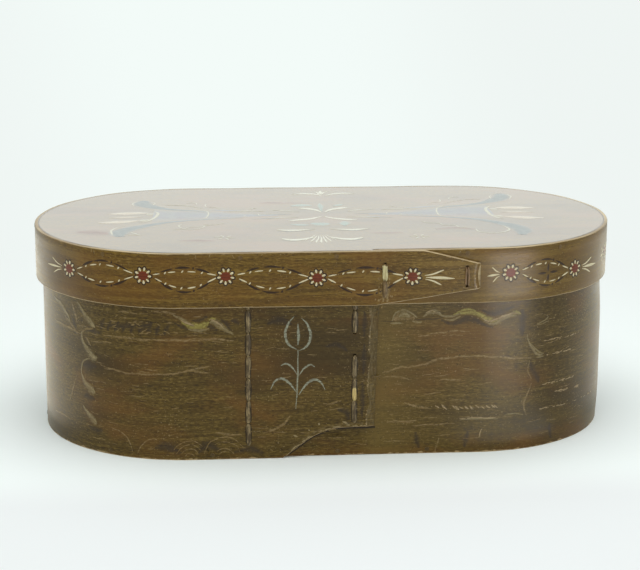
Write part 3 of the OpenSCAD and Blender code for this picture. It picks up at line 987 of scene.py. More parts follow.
def stroke_rings(rows, surface, rise, wander):
    """Rings of one stroke and their UVs: half a width to each side of the curve, raised in the middle.
    Two sines of the distance, a short and a shorter one, let the brush wander."""
    reach = np.hypot(*np.diff(np.array(rows)[:, :2], axis=0).T).sum()
    run = smooth_run(rows, int(np.clip(reach / STROKE_STEP, 2 * len(rows), MOST_RINGS)))
    centre, half = run[:, :2], np.maximum(run[:, 2], LEAST_WIDTH)[:, None] / 2
    heading = np.gradient(centre, axis=0)
    heading /= np.linalg.norm(heading, axis=1, keepdims=True)
    turn = np.linspace(0, 2 * math.pi, SECTION_SIDES, endpoint=False)[None, :]
    off = half * np.cos(turn)
    passed = np.concatenate([[0], np.hypot(*np.diff(centre, axis=0).T).cumsum()])[:, None]
    phase = rows[0][0] + 3.1 * rows[0][1]
    shake = wander * (np.sin(passed / 2.9 + phase) + 0.6 * np.sin(passed / 1.3 + 2 * phase))
    across = centre[:, :1] - heading[:, 1:] * (off + shake)
    up = centre[:, 1:] + heading[:, :1] * (off + shake)
    lift = np.where(np.sin(turn) > 0, rise, SUNK) * np.sin(turn) * np.minimum(half / FULL_HALF, 1)
    brush = np.stack([passed * MM + 0 * off, np.cos(turn) + 0 * off], -1)
    return surface.at(across, up, lift), surface.walk(across, up) * MM, brush


def paint_piece(name, strokes, surface, finish, rise, wander=0.0):
    """All strokes of one colour as one piece on a surface."""
    points, walks, brushes, faces = [], [], [], []
    first = 0
    for rows in strokes:
        made = stroke_rings(rows, surface, rise, wander)
        for kept, part in zip((points, walks, brushes), made):
            kept.append(part.reshape(-1, part.shape[-1]))
        faces += tube_faces(len(made[0]), SECTION_SIDES, first, flip=True)
        first += len(points[-1])
    maps = {"walk": np.vstack(walks), "brush": np.vstack(brushes)}
    mesh = build_mesh(name, np.vstack(points), faces, (finish,), maps, sharp=40)
    link_piece(name, mesh, surface.rider)
    print(name, len(strokes), "strokes,", len(mesh.polygons), "faces")


print("stroke maker ready")

# %% Stroke finish
g, ins = shader_group("brush_marks", {"Laid": "Float", "Bristles": "Float"}, Walk=VECTOR, Brush=VECTOR,
                      Thin=0.3, Soft=0.2, Ragged=0.2)
bristles = g.grain(ins.Brush, (90.0, 3.0, 1.0), 3)
torn = g.noise(ins.Walk, 480.0, 3, 0.6) - 0.5
across = abs(g.axis(ins.Brush, "Y")) + torn * (ins.Ragged * 2.0)
outer = 1.0 - ins.Ragged * 0.4
rim = across.remap(outer - ins.Soft, outer, 1.0, 0.0)
worn = g.grain(ins.Walk, (300.0, 620.0, 1.0), 4, 0.65) * 0.7 + bristles * 0.3
kept = worn.remap(ins.Thin - 0.1, ins.Thin + 0.1)
brush_marks = g.close(Laid=rim * kept, Bristles=bristles)


def stroke_paint(name, surface, colours, strength, thin, soft, ragged, varnish=None):
    """Brush paint in two tones over a surface's ground. Thin wears it off, soft fades its rims and
    ragged tears them. On the varnished lid top, varnish is the share of the coat left over the stroke."""
    material, g = new_material(name)
    walk = g.uv("walk")
    old = g.group(grained_paint, Walk=walk, **surface.ground)
    marks = g.group(brush_marks, Walk=walk, Brush=g.uv("brush"), Thin=thin, Soft=soft, Ragged=ragged)
    fresh = g.mix(marks.Bristles.remap(0.36, 0.64), *(paint(*colour) for colour in colours))
    laid = marks.Laid * strength
    g.surface(Base_Color=g.mix(laid, old.Colour, fresh))
    if varnish:
        top_varnish(g, old, laid.remap(0.0, 1.0, 1.0, varnish))
    else:
        g.surface(Roughness=old.Streaks.remap(0.3, 0.7, 0.30, 0.46),
                  Normal=g.bump(old.Height, 0.35, 0.0002), **DULL_VARNISH)
    return material


print("stroke finish ready")

# %% [markdown]
# ## The frieze round the lid
# Red rosettes with pale drops are linked by lens-shaped chains of dashes and dots, each chain
# with a broken dark line outside it. Groups of rosettes begin and end in three spread strokes.
# The front's groups stand where the real ones stand. The frieze goes on round the ends and the back.
# One motif could be copied like a stamp, but the painter drew each by eye. So each motif is a function
# of its place that lets sizes and turns vary a little, with a fixed seed.

# %% Frieze motifs
PALE_DASHES, PALE_DOTS = ((0.0, 0.11), (0.25, 0.37), (0.55, 0.68), (0.86, 1.0)), (0.18, 0.46, 0.77)
DARK_DASHES, DARK_DOTS = ((0.1, 0.3), (0.36, 0.61), (0.68, 0.92)), (0.04, 0.645)
DROPS = 9
FLOWER_REACH, CHAIN_FROM, CHAIN_SPARE, CHAIN_HALF = 9, 9.5, 18, 1.4
hand = np.random.default_rng(4)
frieze = {"pale": [], "dark": [], "red": []}


def around(across, up, angle, rows):
    """A stroke about a point, from rows of (radius, turn, width), with all of it turned by an angle."""
    return [(across + radius * math.cos(angle + turn), up + radius * math.sin(angle + turn), width)
            for radius, turn, width in rows]


def rosette(across, up):
    """A red heart, nine pale drops round it and a dark scallop round each drop."""
    disc = ((-4.5, 0.5), (-3.3, 6.4), (0, 9.2), (3.3, 6.4), (4.5, 0.5))
    frieze["red"].append([(across + x, up, w) for x, w in disc])
    for angle in np.linspace(0, 2 * math.pi, DROPS, endpoint=False) + hand.uniform(0, 0.7):
        size = hand.uniform(0.85, 1.15)
        drop = ((3.9, 0, 0.7), (5.2, 0, 1.8 * size), (6.2, 0, 2.0 * size), (7.0, 0, 0.9))
        scallop = ((5.8, -0.34, 1.0), (7.3, 0, 2.7), (5.8, 0.34, 1.0))
        frieze["pale"].append(around(across, up, angle, drop))
        frieze["dark"].append(around(across, up, angle, scallop))


def lens(left, right, sag, half):
    """Two facing chains between rosettes: a sine bulge about a sagging axis, dark outside pale."""
    def place(share, side, out):
        across = left[0] + CHAIN_FROM + share * (right[0] - left[0] - CHAIN_SPARE)
        axis = left[1] + share * (right[1] - left[1]) + sag * math.sin(math.pi * share)
        bulge = (half - CHAIN_HALF + out) * math.sin(math.pi * share)
        return across, axis + side * (CHAIN_HALF + bulge)

    for side in (1, -1):
        for tone, out, width, dashes, dots in (("pale", 0.0, 1.3, PALE_DASHES, PALE_DOTS),
                                               ("dark", 3.3, 2.2, DARK_DASHES, DARK_DOTS)):
            for start, stop in dashes:
                shares = np.linspace(start, stop, 4) + hand.uniform(-0.025, 0.025)
                widths = np.array([0.5, width, width, 0.6]) * hand.uniform(0.75, 1.1)
                frieze[tone].append([(*place(s, side, out), w) for s, w in zip(shares, widths)])
            for share in dots:
                x, y = place(share + hand.uniform(-0.015, 0.015), side, out)
                frieze[tone].append([(x - 0.7, y - 0.9, 0.5), (x, y, 0.4 + 0.8 * width),
                                     (x + 0.7, y + 0.9, 0.5)])


def trident(across, up, side, reach, fat):
    """Three strokes that spread from a rosette to one side, the middle one fattest."""
    for rows in (((10, 0.8, 0.5), (17, 1.8, 1.4), (24, 4.4, 1.3), (26.5, 5.2, 0.4)),
                 ((11, -0.8, 0.5), (19, -1.1, 2.2), (27, -1.5, 2.7), (36, -2.1, 0.4)),
                 ((10.5, -2.2, 0.5), (17, -3.8, 1.4), (22.5, -6.4, 1.3), (24.5, -7.4, 0.4))):
        spread = [(FLOWER_REACH + (x - FLOWER_REACH) * reach, y, fat * w) for x, y, w in rows]
        frieze["pale"].append([(across + side * x, up + y, w) for x, y, w in spread])


def cross(across, up):
    """Four dark strokes about a point."""
    for x, y in ((1, 0), (-1, 0), (0, 0.75), (0, -0.75)):
        rows = ((2.0, 0.8), (5.5, 2.5), (10, 0.7))
        frieze["dark"].append([(across + x * r, up + y * r, w) for r, w in rows])


print("frieze motifs ready")

# %% Frieze
LONG_GAP, PAIR_GAP = (-1.6, 7.5), (-0.6, 7.9)
FRIEZE_GROUPS = (
    (((-231, 156.2), (-157.5, 159), (-90, 158.5), (-15.5, 156.2), (62.5, 156)),
     ((0.2, 7.4), (-2.6, 7.0), (-2.0, 7.6), (-3.4, 8.3)), 0.9),
    (((144.6, 156.5), (211.3, 152.3)), (PAIR_GAP,), 0.4),
    (((276, 155), (342, 156.5), (411, 155.5), (484, 157), (557, 155.5)), (LONG_GAP,) * 4, 0.3),
    (((640, 156), (707, 154.5)), (PAIR_GAP,), 0.6),
    (((794, 156), (868, 157.5), (942, 156)), (LONG_GAP,) * 2, 0.7),
)
FRIEZE_COLOURS = {
    "dark": (((34, 19, 6), (50, 30, 12)), 0.07),
    "red": (((112, 43, 16), (90, 32, 10)), 0.09),
    "pale": (((224, 213, 182), (196, 180, 136)), 0.14),
}
for flowers, gaps, left_reach in FRIEZE_GROUPS:
    for flower in flowers:
        rosette(*flower)
    for left, right, gap in zip(flowers, flowers[1:], gaps):
        lens(left, right, *gap)
    trident(*flowers[0], -1, left_reach, 0.75)
    trident(*flowers[-1], 1, 0.95, 1.0)
    if len(flowers) == 2:
        cross(sum(f[0] for f in flowers) / 2 + 2, sum(f[1] for f in flowers) / 2 - 1)
for tone, (colours, rise) in FRIEZE_COLOURS.items():
    finish = stroke_paint("frieze_" + tone, on_lid, colours, 0.95, 0.36, 0.2, 0.15)
    paint_piece("lid_frieze_" + tone, frieze[tone], on_lid, finish, rise)

# %% [markdown]
# ## Rubbed places on the lid
# The heel's stitch has rubbed the paint about it down to the wood, and knocks have left nicks along
# the upper edge. They could be cut into the mesh, but they go hardly deeper than the paint. So both
# are torn pale strokes, scattered with a fixed seed so that they stay in place.

# %% Rubbed places on the lid
NICKS, CHAFES, CHAFE_Z = 9, 30, 145
rub = np.random.default_rng(8)
chafed = [[(heel_seam_x + side, CHAFE_Z + 7, 3), (heel_seam_x + 0.4 + side, CHAFE_Z, 5.5),
           (heel_seam_x + side, CHAFE_Z - 10, 3)] for side in (-1.5, 1.8)]
chafed += [[(x, z - 1, 0.6), (x, z, 2.4), (x + 0.3, z + 1, 0.6)]
           for x, z in rub.normal((heel_seam_x + 0.6, CHAFE_Z), (3.4, 6.4), (CHAFES, 2))]
nick_z = lid.high - 1
for x in rub.uniform(-235, 235, NICKS):
    drop, lean = rub.uniform(1, 4), rub.uniform(-2, 2)
    chafed.append([(x, nick_z, 1.2), (x + lean / 2, nick_z - drop / 2, 1.6),
                   (x + lean, nick_z - drop, 0.4)])
finish = stroke_paint("lid_chafed", on_lid, ((170, 148, 102), (134, 110, 66)), 0.8, 0.45, 0.7, 0.6)
paint_piece("lid_chafing", chafed, on_lid, finish, 0.06)

# %% [markdown]
# ## Graining on the body
# The wet umber was worked with fingers and a stiff brush: yellow flames under the lid, curled
# borders between panels, long broken veins and arcs along the base. Noise could hint at them, but a
# hand's marks have their places, so each is a stroke of its own: a list of (place, height, width).
# These strokes are thin and half worn away, so their rims fade and the ground shows through. Dark
# strokes give the curls their shaded side. The two front panels are repeated on the ends and the back.

# %% Flames and curls
FLAMES = [
    [(-126, 119.5, 1.5), (-121, 117, 4), (-116, 115, 5.6), (-110.5, 115.2, 5.4), (-106, 117.6, 3.4),
     (-104, 119, 1)], [(-131, 124, 1), (-126, 121.6, 2.6), (-120, 117.6, 2.6), (-117, 115.6, 1)],
    [(-104, 120.6, 1), (-101, 121.6, 2), (-97, 119.4, 1.6), (-94, 116.6, 0.8)],
    [(98, 120.4, 0.8), (104, 121.4, 2), (112, 122.2, 2.6), (118.5, 120.6, 3), (126.3, 116.2, 4.4),
     (131, 114.2, 4.6), (135.5, 115.2, 2.6), (139, 116.4, 1)],
    [(101, 122, 0.8), (106, 124.2, 1.6), (111, 125, 1.8), (117, 123, 1)],
    [(141, 117.6, 1), (146, 119.4, 2.6), (151, 120.4, 2.8), (156, 118.8, 1)],
]
CURLS = [
    [(-133, 125.4, 1), (-127, 122.4, 1.7), (-119.6, 117.4, 1.5), (-116, 116, 0.6)],
    [(-121, 113.6, 0.6), (-115, 111.8, 1.7), (-108, 112.2, 1.4), (-104, 114, 0.6)],
    [(-103.4, 118.4, 1), (-100, 118.8, 3.2), (-95.6, 116.2, 3.6), (-91, 112.6, 2.6), (-84, 108.2, 0.7)],
    [(-224, 127, 0.8), (-217, 120, 2), (-210.5, 113.6, 3.6), (-206, 110, 3.4), (-204, 108.4, 1)],
    [(-219.4, 102, 0.7), (-219, 96.6, 1.4), (-215.6, 90.4, 2.4), (-210, 84.8, 4.4), (-205, 82.4, 4.2),
     (-202.4, 83.4, 1)],
    [(-221, 66, 0.7), (-217.4, 59.6, 2.2), (-212.5, 55, 4.2), (-207.6, 52.4, 4.4), (-205.4, 52.4, 1)],
    [(-220, 38, 0.7), (-215.4, 33, 2), (-210, 28.8, 3.8), (-206, 25.8, 3.4), (-204.4, 24.4, 1)],
    [(-205, 80.2, 0.5), (-212, 80.2, 0.8), (-217.6, 77.2, 1), (-220.6, 71.6, 0.9), (-221, 66, 0.6)],
    [(162.5, 101, 0.4), (164, 93.5, 0.9), (168.5, 87, 1.4), (173.5, 81.6, 1.6), (178, 80.6, 0.7)],
    [(165.4, 92.5, 0.4), (169, 88.6, 0.7), (174, 84.4, 1), (179.5, 81.8, 0.5)],
    [(172, 80, 0.4), (175.6, 79, 1), (179.4, 79.4, 0.4)],
    [(172, 108.5, 0.4), (178, 110, 0.8), (183, 113, 0.7), (181, 114.5, 0.3)],
    [(172, 108, 0.3), (179, 108.4, 0.6), (184, 110, 0.3)],
    [(47, 116, 0.7), (48.8, 121, 1), (54, 125, 1.2), (59.5, 124.8, 1.2), (64, 121.8, 1), (68, 118.2, 0.7)],
    [(53, 119, 1), (56, 121.2, 3.4), (60, 121, 3), (62, 118.6, 1)],
    [(73, 119, 0.8), (77.5, 122.6, 2), (81.5, 123.8, 2.8), (85, 122.2, 2), (88.5, 120, 0.8)],
    [(86, 120.4, 0.6), (92, 118.8, 1.4), (98, 119.6, 1.3), (104, 121.2, 0.7)],
    [(91, 116.5, 0.6), (96, 115.6, 1.2), (101, 117.6, 1), (104, 119.4, 0.6)],
    [(124, 114.4, 0.6), (130, 111.8, 1.4), (136, 113.6, 2), (142, 116.6, 2.2), (148, 118.2, 1.5),
     (152, 118, 0.6)], [(46, 114.5, 0.6), (50, 114, 1.4), (55, 113.9, 0.6)],
    [(64, 115.2, 0.6), (67.5, 114.4, 1.5), (72, 114.6, 0.6)],
    [(-262, 124, 0.5), (-252, 121.5, 1.6), (-244, 117.5, 2.2), (-237, 112, 1.4), (-235, 108, 0.5)],
    [(105.5, 28.8, 0.5), (117.5, 29.8, 0.9), (130, 29.4, 0.9), (138, 29.1, 0.5)],
    [(144, 31.5, 0.5), (150, 32.8, 0.8), (160.5, 30.4, 0.5)],
]
print(len(FLAMES), "flames,", len(CURLS), "curls")


# %% Beads and veins
def dash(x, z, reach, slope, width):
    """A short stroke that starts at a place and rises by its slope, fattest halfway."""
    rise = slope * reach
    return [(x, z, 0.35), (x + reach / 2, z + rise / 2, width), (x + reach, z + rise, 0.35)]


BEADS = [
    [(121, 117.8, 0.4), (127, 114.6, 1), (134, 115.6, 1.4), (141, 118.4, 1.6), (148, 120.2, 1.2),
     (154, 119, 0.4)], [(-127, 121.4, 0.4), (-121, 117.8, 1.2), (-116, 116.4, 0.5)],
    [(-103, 121.4, 0.5), (-98, 119.4, 1.4), (-93, 114.8, 0.5)],
    [(84, 123, 0.4), (80, 124.6, 1), (75, 122.4, 0.4)], [(105, 30, 0.4), (120, 30.6, 0.8), (136, 30, 0.4)],
    [(121.6, 13, 0.4), (122.8, 17, 1), (124.6, 20.6, 0.4)],
]
VEINS = [
    [(-195, 103.2, 0.6), (-175, 103.8, 1.6), (-155, 103.6, 1), (-140, 104, 1.5), (-120, 103.6, 1.8),
     (-100, 104.4, 1.8), (-84, 102.6, 0.7)], [(-207, 96.2, 0.5), (-197, 97.2, 1.1), (-187, 97.7, 0.5)],
    [(-199, 77, 0.6), (-187, 75.2, 1.2), (-175, 73.4, 1.2), (-160, 73.8, 1.3), (-146, 74.2, 1.3),
     (-132, 75.4, 1.4), (-124, 77.2, 1.4), (-112, 79.8, 1.6), (-103, 81.4, 0.6)],
    [(-122.8, 78.2, 0.6), (-113, 76.5, 1.4), (-103, 75, 0.6)],
    [(-150, 127.4, 0.6), (-140, 127.6, 1.8), (-131, 126, 1)],
    [(-180, 125, 0.6), (-172, 126, 1.5), (-163, 125, 0.6)],
    [(-99.4, 23.8, 0.6), (-90.6, 22, 1.6), (-78, 21.3, 0.6)],
    [(-61, 23, 0.6), (-52.6, 24.2, 1.5), (-44.4, 29, 1.6), (-39.8, 33.5, 1.4), (-37.5, 37, 0.6)],
    [(-7, 46, 0.5), (-1, 47.8, 1.4), (5, 49.2, 0.5)],
    [(69, 102.3, 0.6), (85, 104.8, 1.2), (100, 106.4, 1.2), (112, 106, 0.5)],
    [(39.5, 71.5, 0.8), (46, 73.6, 1.4), (56, 76, 1.4), (72, 77.4, 1.3), (82.5, 81.4, 1.5), (95, 83.4, 1.3),
     (117, 84.6, 1.2), (137, 83, 1.4), (150, 81, 1.3), (167, 79.8, 0.6)],
    [(40, 67.9, 0.6), (53.8, 67.7, 1.2), (62.5, 64.8, 0.6)],
    [(88, 64.6, 0.5), (97, 64.2, 1.1), (106, 64.2, 0.5)],
    [(58.5, 45, 0.6), (66.3, 42.3, 1.7), (73.8, 40.2, 1.6), (80.5, 39.8, 0.6)],
    [(43.8, 28.3, 0.8), (55, 28.6, 1.7), (69, 29.1, 0.8)],
    [(65, 24.8, 0.5), (82, 25.4, 1.1), (101, 25.8, 0.5)],
    [(85, 1.8, 0.5), (86.2, 8, 1.1), (88.4, 13.4, 0.6)],
    [(165.5, 77, 0.5), (164, 69, 0.9), (167.5, 61, 0.5)],
    [(168, 57, 0.5), (163.5, 47, 1), (161, 38, 1.4), (163.5, 30, 0.6)],
    [(-205, 107.4, 0.6), (-211, 105.8, 1.2), (-216.6, 104.6, 1.4), (-219.4, 101.4, 0.8)],
    [(-215, 98.6, 0.5), (-211, 95, 1.5), (-209, 92, 0.5)],
    [(-231, 124, 0.8), (-227, 116, 2), (-225, 109, 0.8)],
    [(-243, 112, 0.8), (-233, 106, 1.6), (-224, 99, 0.8)],
    [(49, 116.4, 2), (54.6, 120.6, 6), (60, 120.6, 6), (65.6, 117, 2)],
    [(-189, 23.8, 0.4), (-181.7, 22.1, 0.7), (-175, 17.7, 0.8), (-171.7, 12.7, 0.8), (-169.8, 4.9, 0.4)],
    [(-165.6, 4.3, 0.4), (-162.8, 9.3, 0.7), (-158.3, 14.9, 0.8), (-152.8, 18.4, 0.8), (-147.8, 17.1, 0.4)],
    [(-262, 104, 0.5), (-245, 103, 1.2), (-232, 102, 1.2), (-220, 100, 0.5)],
    [(-296, 80, 0.5), (-290, 76, 1.4), (-284, 70, 0.5)], [(-229, 60, 0.4), (-233, 49, 1), (-239, 37, 0.4)],
    [(-266, 21, 0.5), (-252, 22.5, 1.2), (-238, 21, 0.5)],
]
print(len(BEADS), "beads and", len(VEINS), "veins by hand")

# %% Scattered beads, arcs and scratches
LONG_SCRATCHES, SHORT_SCRATCHES, ROW_BEADS = 150, 22, 15
BEAD_ROWS = ((92.9, 92.3, 177, 221), (80.2, 79.8, 182, 210), (55.2, 54.6, 172, 214), (46.4, 44.4, 182, 222),
             (33, 31.4, 176, 252))
ARC_CENTRES, ARC_FOOT = ((-121, 15), (-92, 17)), 2
ARC_SIZES, ARC_WIDTHS = np.array([1.0, 0.76, 0.5, 0.28]), (0.35, 0.7, 0.75, 0.6, 0.35)
bead = np.random.default_rng(21)
scratch = np.random.default_rng(11)
row_x = np.arange(84, 136, 4.3)
for x in row_x + bead.normal(0, 0.8, len(row_x)):
    size = bead.uniform(0.5, 1.2)
    BEADS.append(dash(x, 40 + 1.5 * size + bead.normal(0, 0.5), 3.4, -size, 1.6 * size))
for x, size in ARC_CENTRES:
    for radius in size * (ARC_SIZES + bead.normal(0, 0.03, 4)):
        turn = np.linspace(bead.uniform(0.3, 0.9), bead.uniform(2.2, 3.0), 5)
        VEINS.append(around(x, ARC_FOOT, 0, [(radius, a, w) for a, w in zip(turn, ARC_WIDTHS)]))
for x, z in scratch.uniform((-235, 8), (225, 126), (LONG_SCRATCHES, 2)):
    VEINS.append(dash(x, z, scratch.uniform(4, 15), scratch.normal(0, 0.06), scratch.uniform(0.4, 0.7)))
for x, z in scratch.uniform((-203, 107), (-132, 125), (SHORT_SCRATCHES, 2)):
    VEINS.append(dash(x, z, scratch.uniform(2, 6), scratch.normal(0, 0.35), scratch.uniform(0.6, 1.2)))
for low, high, left, right in BEAD_ROWS:
    for x in bead.uniform(left, right, ROW_BEADS):
        z = low + (high - low) * (x - left) / (right - left) + bead.normal(0, 0.35)
        BEADS.append(dash(x, z, bead.uniform(2, 6), 0.02, bead.uniform(0.45, 0.95)))
print(len(BEADS), "beads,", len(VEINS), "veins and scratches")

# %% Shades
SHADES = [
    [(-219, 103, 2), (-213, 105.6, 6), (-206, 105.8, 6), (-199, 104, 2)],
    [(-219, 73, 2), (-213, 74.6, 9), (-203, 75, 2)], [(-218, 46, 2), (-213, 47, 9), (-206, 46, 2)],
    [(-214, 21, 2), (-206, 19, 6), (-198, 20, 2)], [(-230, 112, 2), (-229, 106, 5), (-226, 100, 2)],
    [(-118, 120.4, 1), (-111, 120.6, 3.4), (-105, 123.6, 2)],
    [(-107, 114, 1.5), (-101.5, 114.6, 4.6), (-97, 112.4, 1.5)],
    [(-94, 121, 1.5), (-90, 117, 5.6), (-87, 112, 2)],
    [(-86, 119.6, 1.5), (-82.5, 119.4, 5), (-79, 117, 1.5)],
    [(-132, 118.6, 1), (-124, 114.2, 2.6), (-117, 112, 1)],
    [(88, 116, 1.5), (98, 113, 4), (112, 117, 6), (122, 112.5, 4), (132, 109, 2)],
    [(122, 124, 2), (132, 120.6, 6), (142, 124, 4), (150, 125.5, 1.5)],
    [(157, 123, 3), (157.6, 112, 8), (158, 100, 3)],
    [(165.5, 77, 2), (168, 70, 5.5), (173, 62, 6), (175, 57, 2)],
    [(40, 115.6, 0.5), (60, 116.4, 0.9), (82, 117.2, 0.9), (90, 118.6, 0.5)],
    [(24, 126, 2), (25, 116, 6), (24.4, 104, 2)], [(24.4, 98, 2), (25, 86, 7), (24.6, 72, 2)],
    [(23, 66, 2), (24.6, 56, 6), (24.6, 44, 7), (24, 34, 2)], [(2, 41, 2), (9, 40, 7), (12, 33, 2)],
    [(-56, 116, 2), (-47, 120, 8), (-36, 116, 2)], [(-8, 96, 2), (2, 98, 5), (10, 92, 2)],
    [(-190, 112, 2), (-176, 113.6, 6), (-158, 115, 5), (-150, 118, 2)],
    [(-150, 10, 2), (-139, 12, 10), (-128, 6, 2)], [(-114, 6, 2), (-106, 13, 9), (-95, 8, 2)],
    [(-84, 6, 2), (-70, 9, 7), (-60, 5, 2)],
]
SHADES += [[(x, 108, 1.5), (x + 1.5, 112.5, 4.5), (x + 4, 117, 1.5)] for x in np.arange(-198, -135, 7.2)]
SHADES += [[(x, 5, 2), (x + lean, 12, 5), (x + 2 * lean, 19, 2)]
           for x, lean in ((71, -1.5), (110, 1), (190, -1))]
print(len(SHADES), "shades")

# %% Body pieces
PANEL, PANEL_EDGE = 262, 38
BODY_WANDER = 0.25


def with_copies(strokes):
    """The strokes, with those of the right panel repeated twice along the strip and the left's once."""
    moves = {True: (PANEL, 2 * PANEL), False: (-PANEL,)}
    more = [[(x + move, y, w) for x, y, w in rows]
            for rows in strokes if abs(rows[0][0]) > PANEL_EDGE for move in moves[rows[0][0] > 0]]
    return strokes + more


body_strokes = (
    ("shades", SHADES, ((38, 28, 18), (54, 43, 32)), (0.75, 0.40, 0.8, 0.5), 1.9, 0.05),
    ("veins", VEINS, ((156, 134, 94), (124, 98, 60)), (0.75, 0.48, 0.5, 0.5), 2.2, 0.08),
    ("flames", FLAMES, ((166, 154, 80), (130, 116, 56)), (0.85, 0.43, 0.6, 0.5), 2.0, 0.10),
    ("curls", CURLS, ((166, 150, 110), (124, 107, 72)), (0.66, 0.42, 0.75, 0.45), 2.6, 0.12),
    ("beads", BEADS, ((186, 164, 126), (150, 124, 86)), (0.75, 0.42, 0.6, 0.5), 2.2, 0.14),
)
for label, strokes, colours, feel, fatter, rise in body_strokes:
    strokes = [[(x, z, fatter * w) for x, z, w in rows] for rows in with_copies(strokes)]
    finish = stroke_paint("umber_" + label, on_body, colours, *feel)
    paint_piece("body_" + label, strokes, on_body, finish, rise, BODY_WANDER)

# %% [markdown]
# ## The lap's cut edge and the seams
# Dark lines lie under the lap's cut edge and beside the stitches: grime that has settled there, and
# painted shade where the outer layer and the stitches shade the wood. Hands have rubbed the edge
# itself paler and chipped it. The dark lines could be a mask in the band's own paint. Strokes that follow
# the outline to which the band was cut are simpler, and they stay on it wherever it goes.

# %% Lap and seams
CHIPS = ((-35, 20, 4, 3), (-22.5, 24.5, 1.8, 1.8), (-14.5, 29.5, 2, 4), (6, 31, 5, 3.4))
CHIP_COUNT = 26
lap_x = np.linspace(-38, 34, 20)
lap_z = body_edges(lap_x)[0]
lap_slope = np.gradient(lap_z, lap_x)
chip = np.random.default_rng(17)
# Under the lap's cut edge: grime and the painted shadow of the layer above.
under_edge = [[(x, z - 1.9, 2.6) for x, z in zip(lap_x, lap_z)]]
rubbed = [[(x, z + 3.0, 3.6) for x, z in zip(lap_x[:-2], lap_z[:-2])]]
chips = []
for x in chip.uniform(-38, 26, CHIP_COUNT):
    z = np.interp(x, lap_x, lap_z) + chip.uniform(1.0, 2.0)
    reach = chip.uniform(2, 6)
    chips.append(dash(x, z, reach, np.interp(x + 2, lap_x, lap_slope), chip.uniform(1.0, 2.0)))
chips += [dash(x, z, reach, -0.4, size) for x, z, reach, size in CHIPS]
# Beside the stitches: grime and painted shade.
beside = [[(x + side * 1.9, low + 1, 0.7), (x + side * 2.2, (low + high) / 2, 1.7),
           (x + side * 1.9, high - 1, 0.7)]
          for x, heights in body_seams for low, high in zip(heights, heights[1:]) for side in (-1, 1)
          if (x, low) != (right_seam_x, right_holes[BARE_GAP])]
# One dark finish for grime and painted shade.
grime_and_shade = stroke_paint("lap_grime_and_shade", on_body, ((34, 25, 12), (46, 35, 19)), 0.95, 0.30, 0.5, 0.3)
worn_thin = stroke_paint("lap_rubbed", on_body, ((140, 122, 88), (108, 90, 58)), 0.55, 0.50, 0.7, 0.6)
chipped = stroke_paint("lap_chipped", on_body, ((172, 154, 116), (142, 122, 84)), 0.85, 0.42, 0.5, 0.6)
paint_piece("body_lap_grime_and_shade", under_edge, under_lap, grime_and_shade, 0.05, 0.1)
paint_piece("body_lap_rubbed", rubbed, on_body, worn_thin, 0.06, 0.1)
paint_piece("body_lap_chips", chips, on_body, chipped, 0.10, 0.2)
paint_piece("body_seam_grime_and_shade", beside, on_body, grime_and_shade, 0.05, 0.2)

# %% [markdown]
# ## A sprig between the seams
# The panel between the two seams holds a plain tulip sprig: a stem, paired leaves and a bud of three
# petals, in a thin grey-green. It could be one flat picture, but strokes keep the brush's bead and
# wear away with the ground. Half of the leaves and petals is written down and mirrored.

# %% Sprig
SPRIG_X = -31
half_sprig = [
    [(0.8, 55, 0.7), (6, 63, 2.6), (13, 68, 3.4), (19, 66, 2.4), (22.5, 59, 0.7)],
    [(0.6, 71, 0.6), (5, 78, 2.2), (10, 81, 2.4), (14, 79, 0.7)],
    [(1, 93, 0.8), (7.5, 97, 2.8), (10.5, 106, 3.4), (8, 115, 2.6), (3, 121, 0.7)],
]
sprig = [[(-1.6, 43, 0.7), (-0.6, 60, 1.8), (0, 78, 1.9), (0, 94, 0.9)],
         [(0, 98, 0.7), (0.4, 106, 3.8), (0, 116, 1.0)]]
sprig += half_sprig + [[(-x, z + 1.4, w) for x, z, w in rows] for rows in half_sprig]
sprig = [[(SPRIG_X + x, z, w) for x, z, w in rows] for rows in sprig]
finish = stroke_paint("sprig_green", on_body, ((168, 172, 148), (132, 132, 116)), 0.85, 0.45, 0.4, 0.5)
paint_piece("body_sprig", sprig, on_body, finish, 0.10, 0.1)

# %% [markdown]
# ## Painting on the lid
# A cross of four pale commas stands in the middle. Blue-grey trumpets open to both ends, each with
# two curled arms and three pale petals in its mouth, and fans of fine strokes point to the long
# sides. One half is written down and mirrored about a leaning axis, as the painter did by eye. The
# matt blue has less varnish than the ground, so it stays darker where the lid mirrors the room.
# Smudges lie where they lie.

# %% Commas, trumpets and petals
COMMAS = [
    [(2, 17, 1), (7.5, 26, 4.8), (14, 31.5, 7.2), (20.5, 34.2, 5.6), (25, 35, 1.6)],
    [(0, 1, 1), (5.6, -6.3, 4.4), (13.6, -11.4, 7), (23, -14.4, 5.6), (28, -15, 1.6)],
    [(1, -49.6, 0.8), (7, -51, 2.6), (14, -53, 5.4), (24, -53.8, 6.6), (34, -50.2, 1.8)],
    [(-2, -78.5, 1.2), (6, -86, 5.6), (16.6, -89.6, 8), (26, -84.1, 2.6)],
    [(8.4, 87, 1), (14, 94.5, 4), (22, 97.5, 5.8), (29, 97.8, 5), (35.8, 95, 1.4)],
]
BLUE = [
    [(102, 26, 2), (114, 34, 5), (130, 39, 7), (146, 47, 11), (158, 57, 19), (167, 67, 23), (170, 78, 22),
     (170, 88, 10)],
    [(70, -1, 2), (104, -8, 5), (130, -18, 8), (144, -29, 12), (155, -41, 18), (163, -54, 23),
     (165, -68, 22), (161, -81, 10)], [(28, 9, 1), (44, 10, 3), (62, 9, 1)],
    [(24, -2, 1), (42, -4, 3), (60, -8, 1)],
]
BLUE += [[(x + 1, y - 3.6, w / 3) for x, y, w in rows] for rows in COMMAS[2:4]]
LAVENDER = [
    [(40, 7, 5), (66, 8, 20), (92, 11, 44), (116, 13, 64), (136, 14, 74), (150, 14.5, 78)],
    [(74, 30, 2), (88, 33, 8), (104, 38, 3)],
]
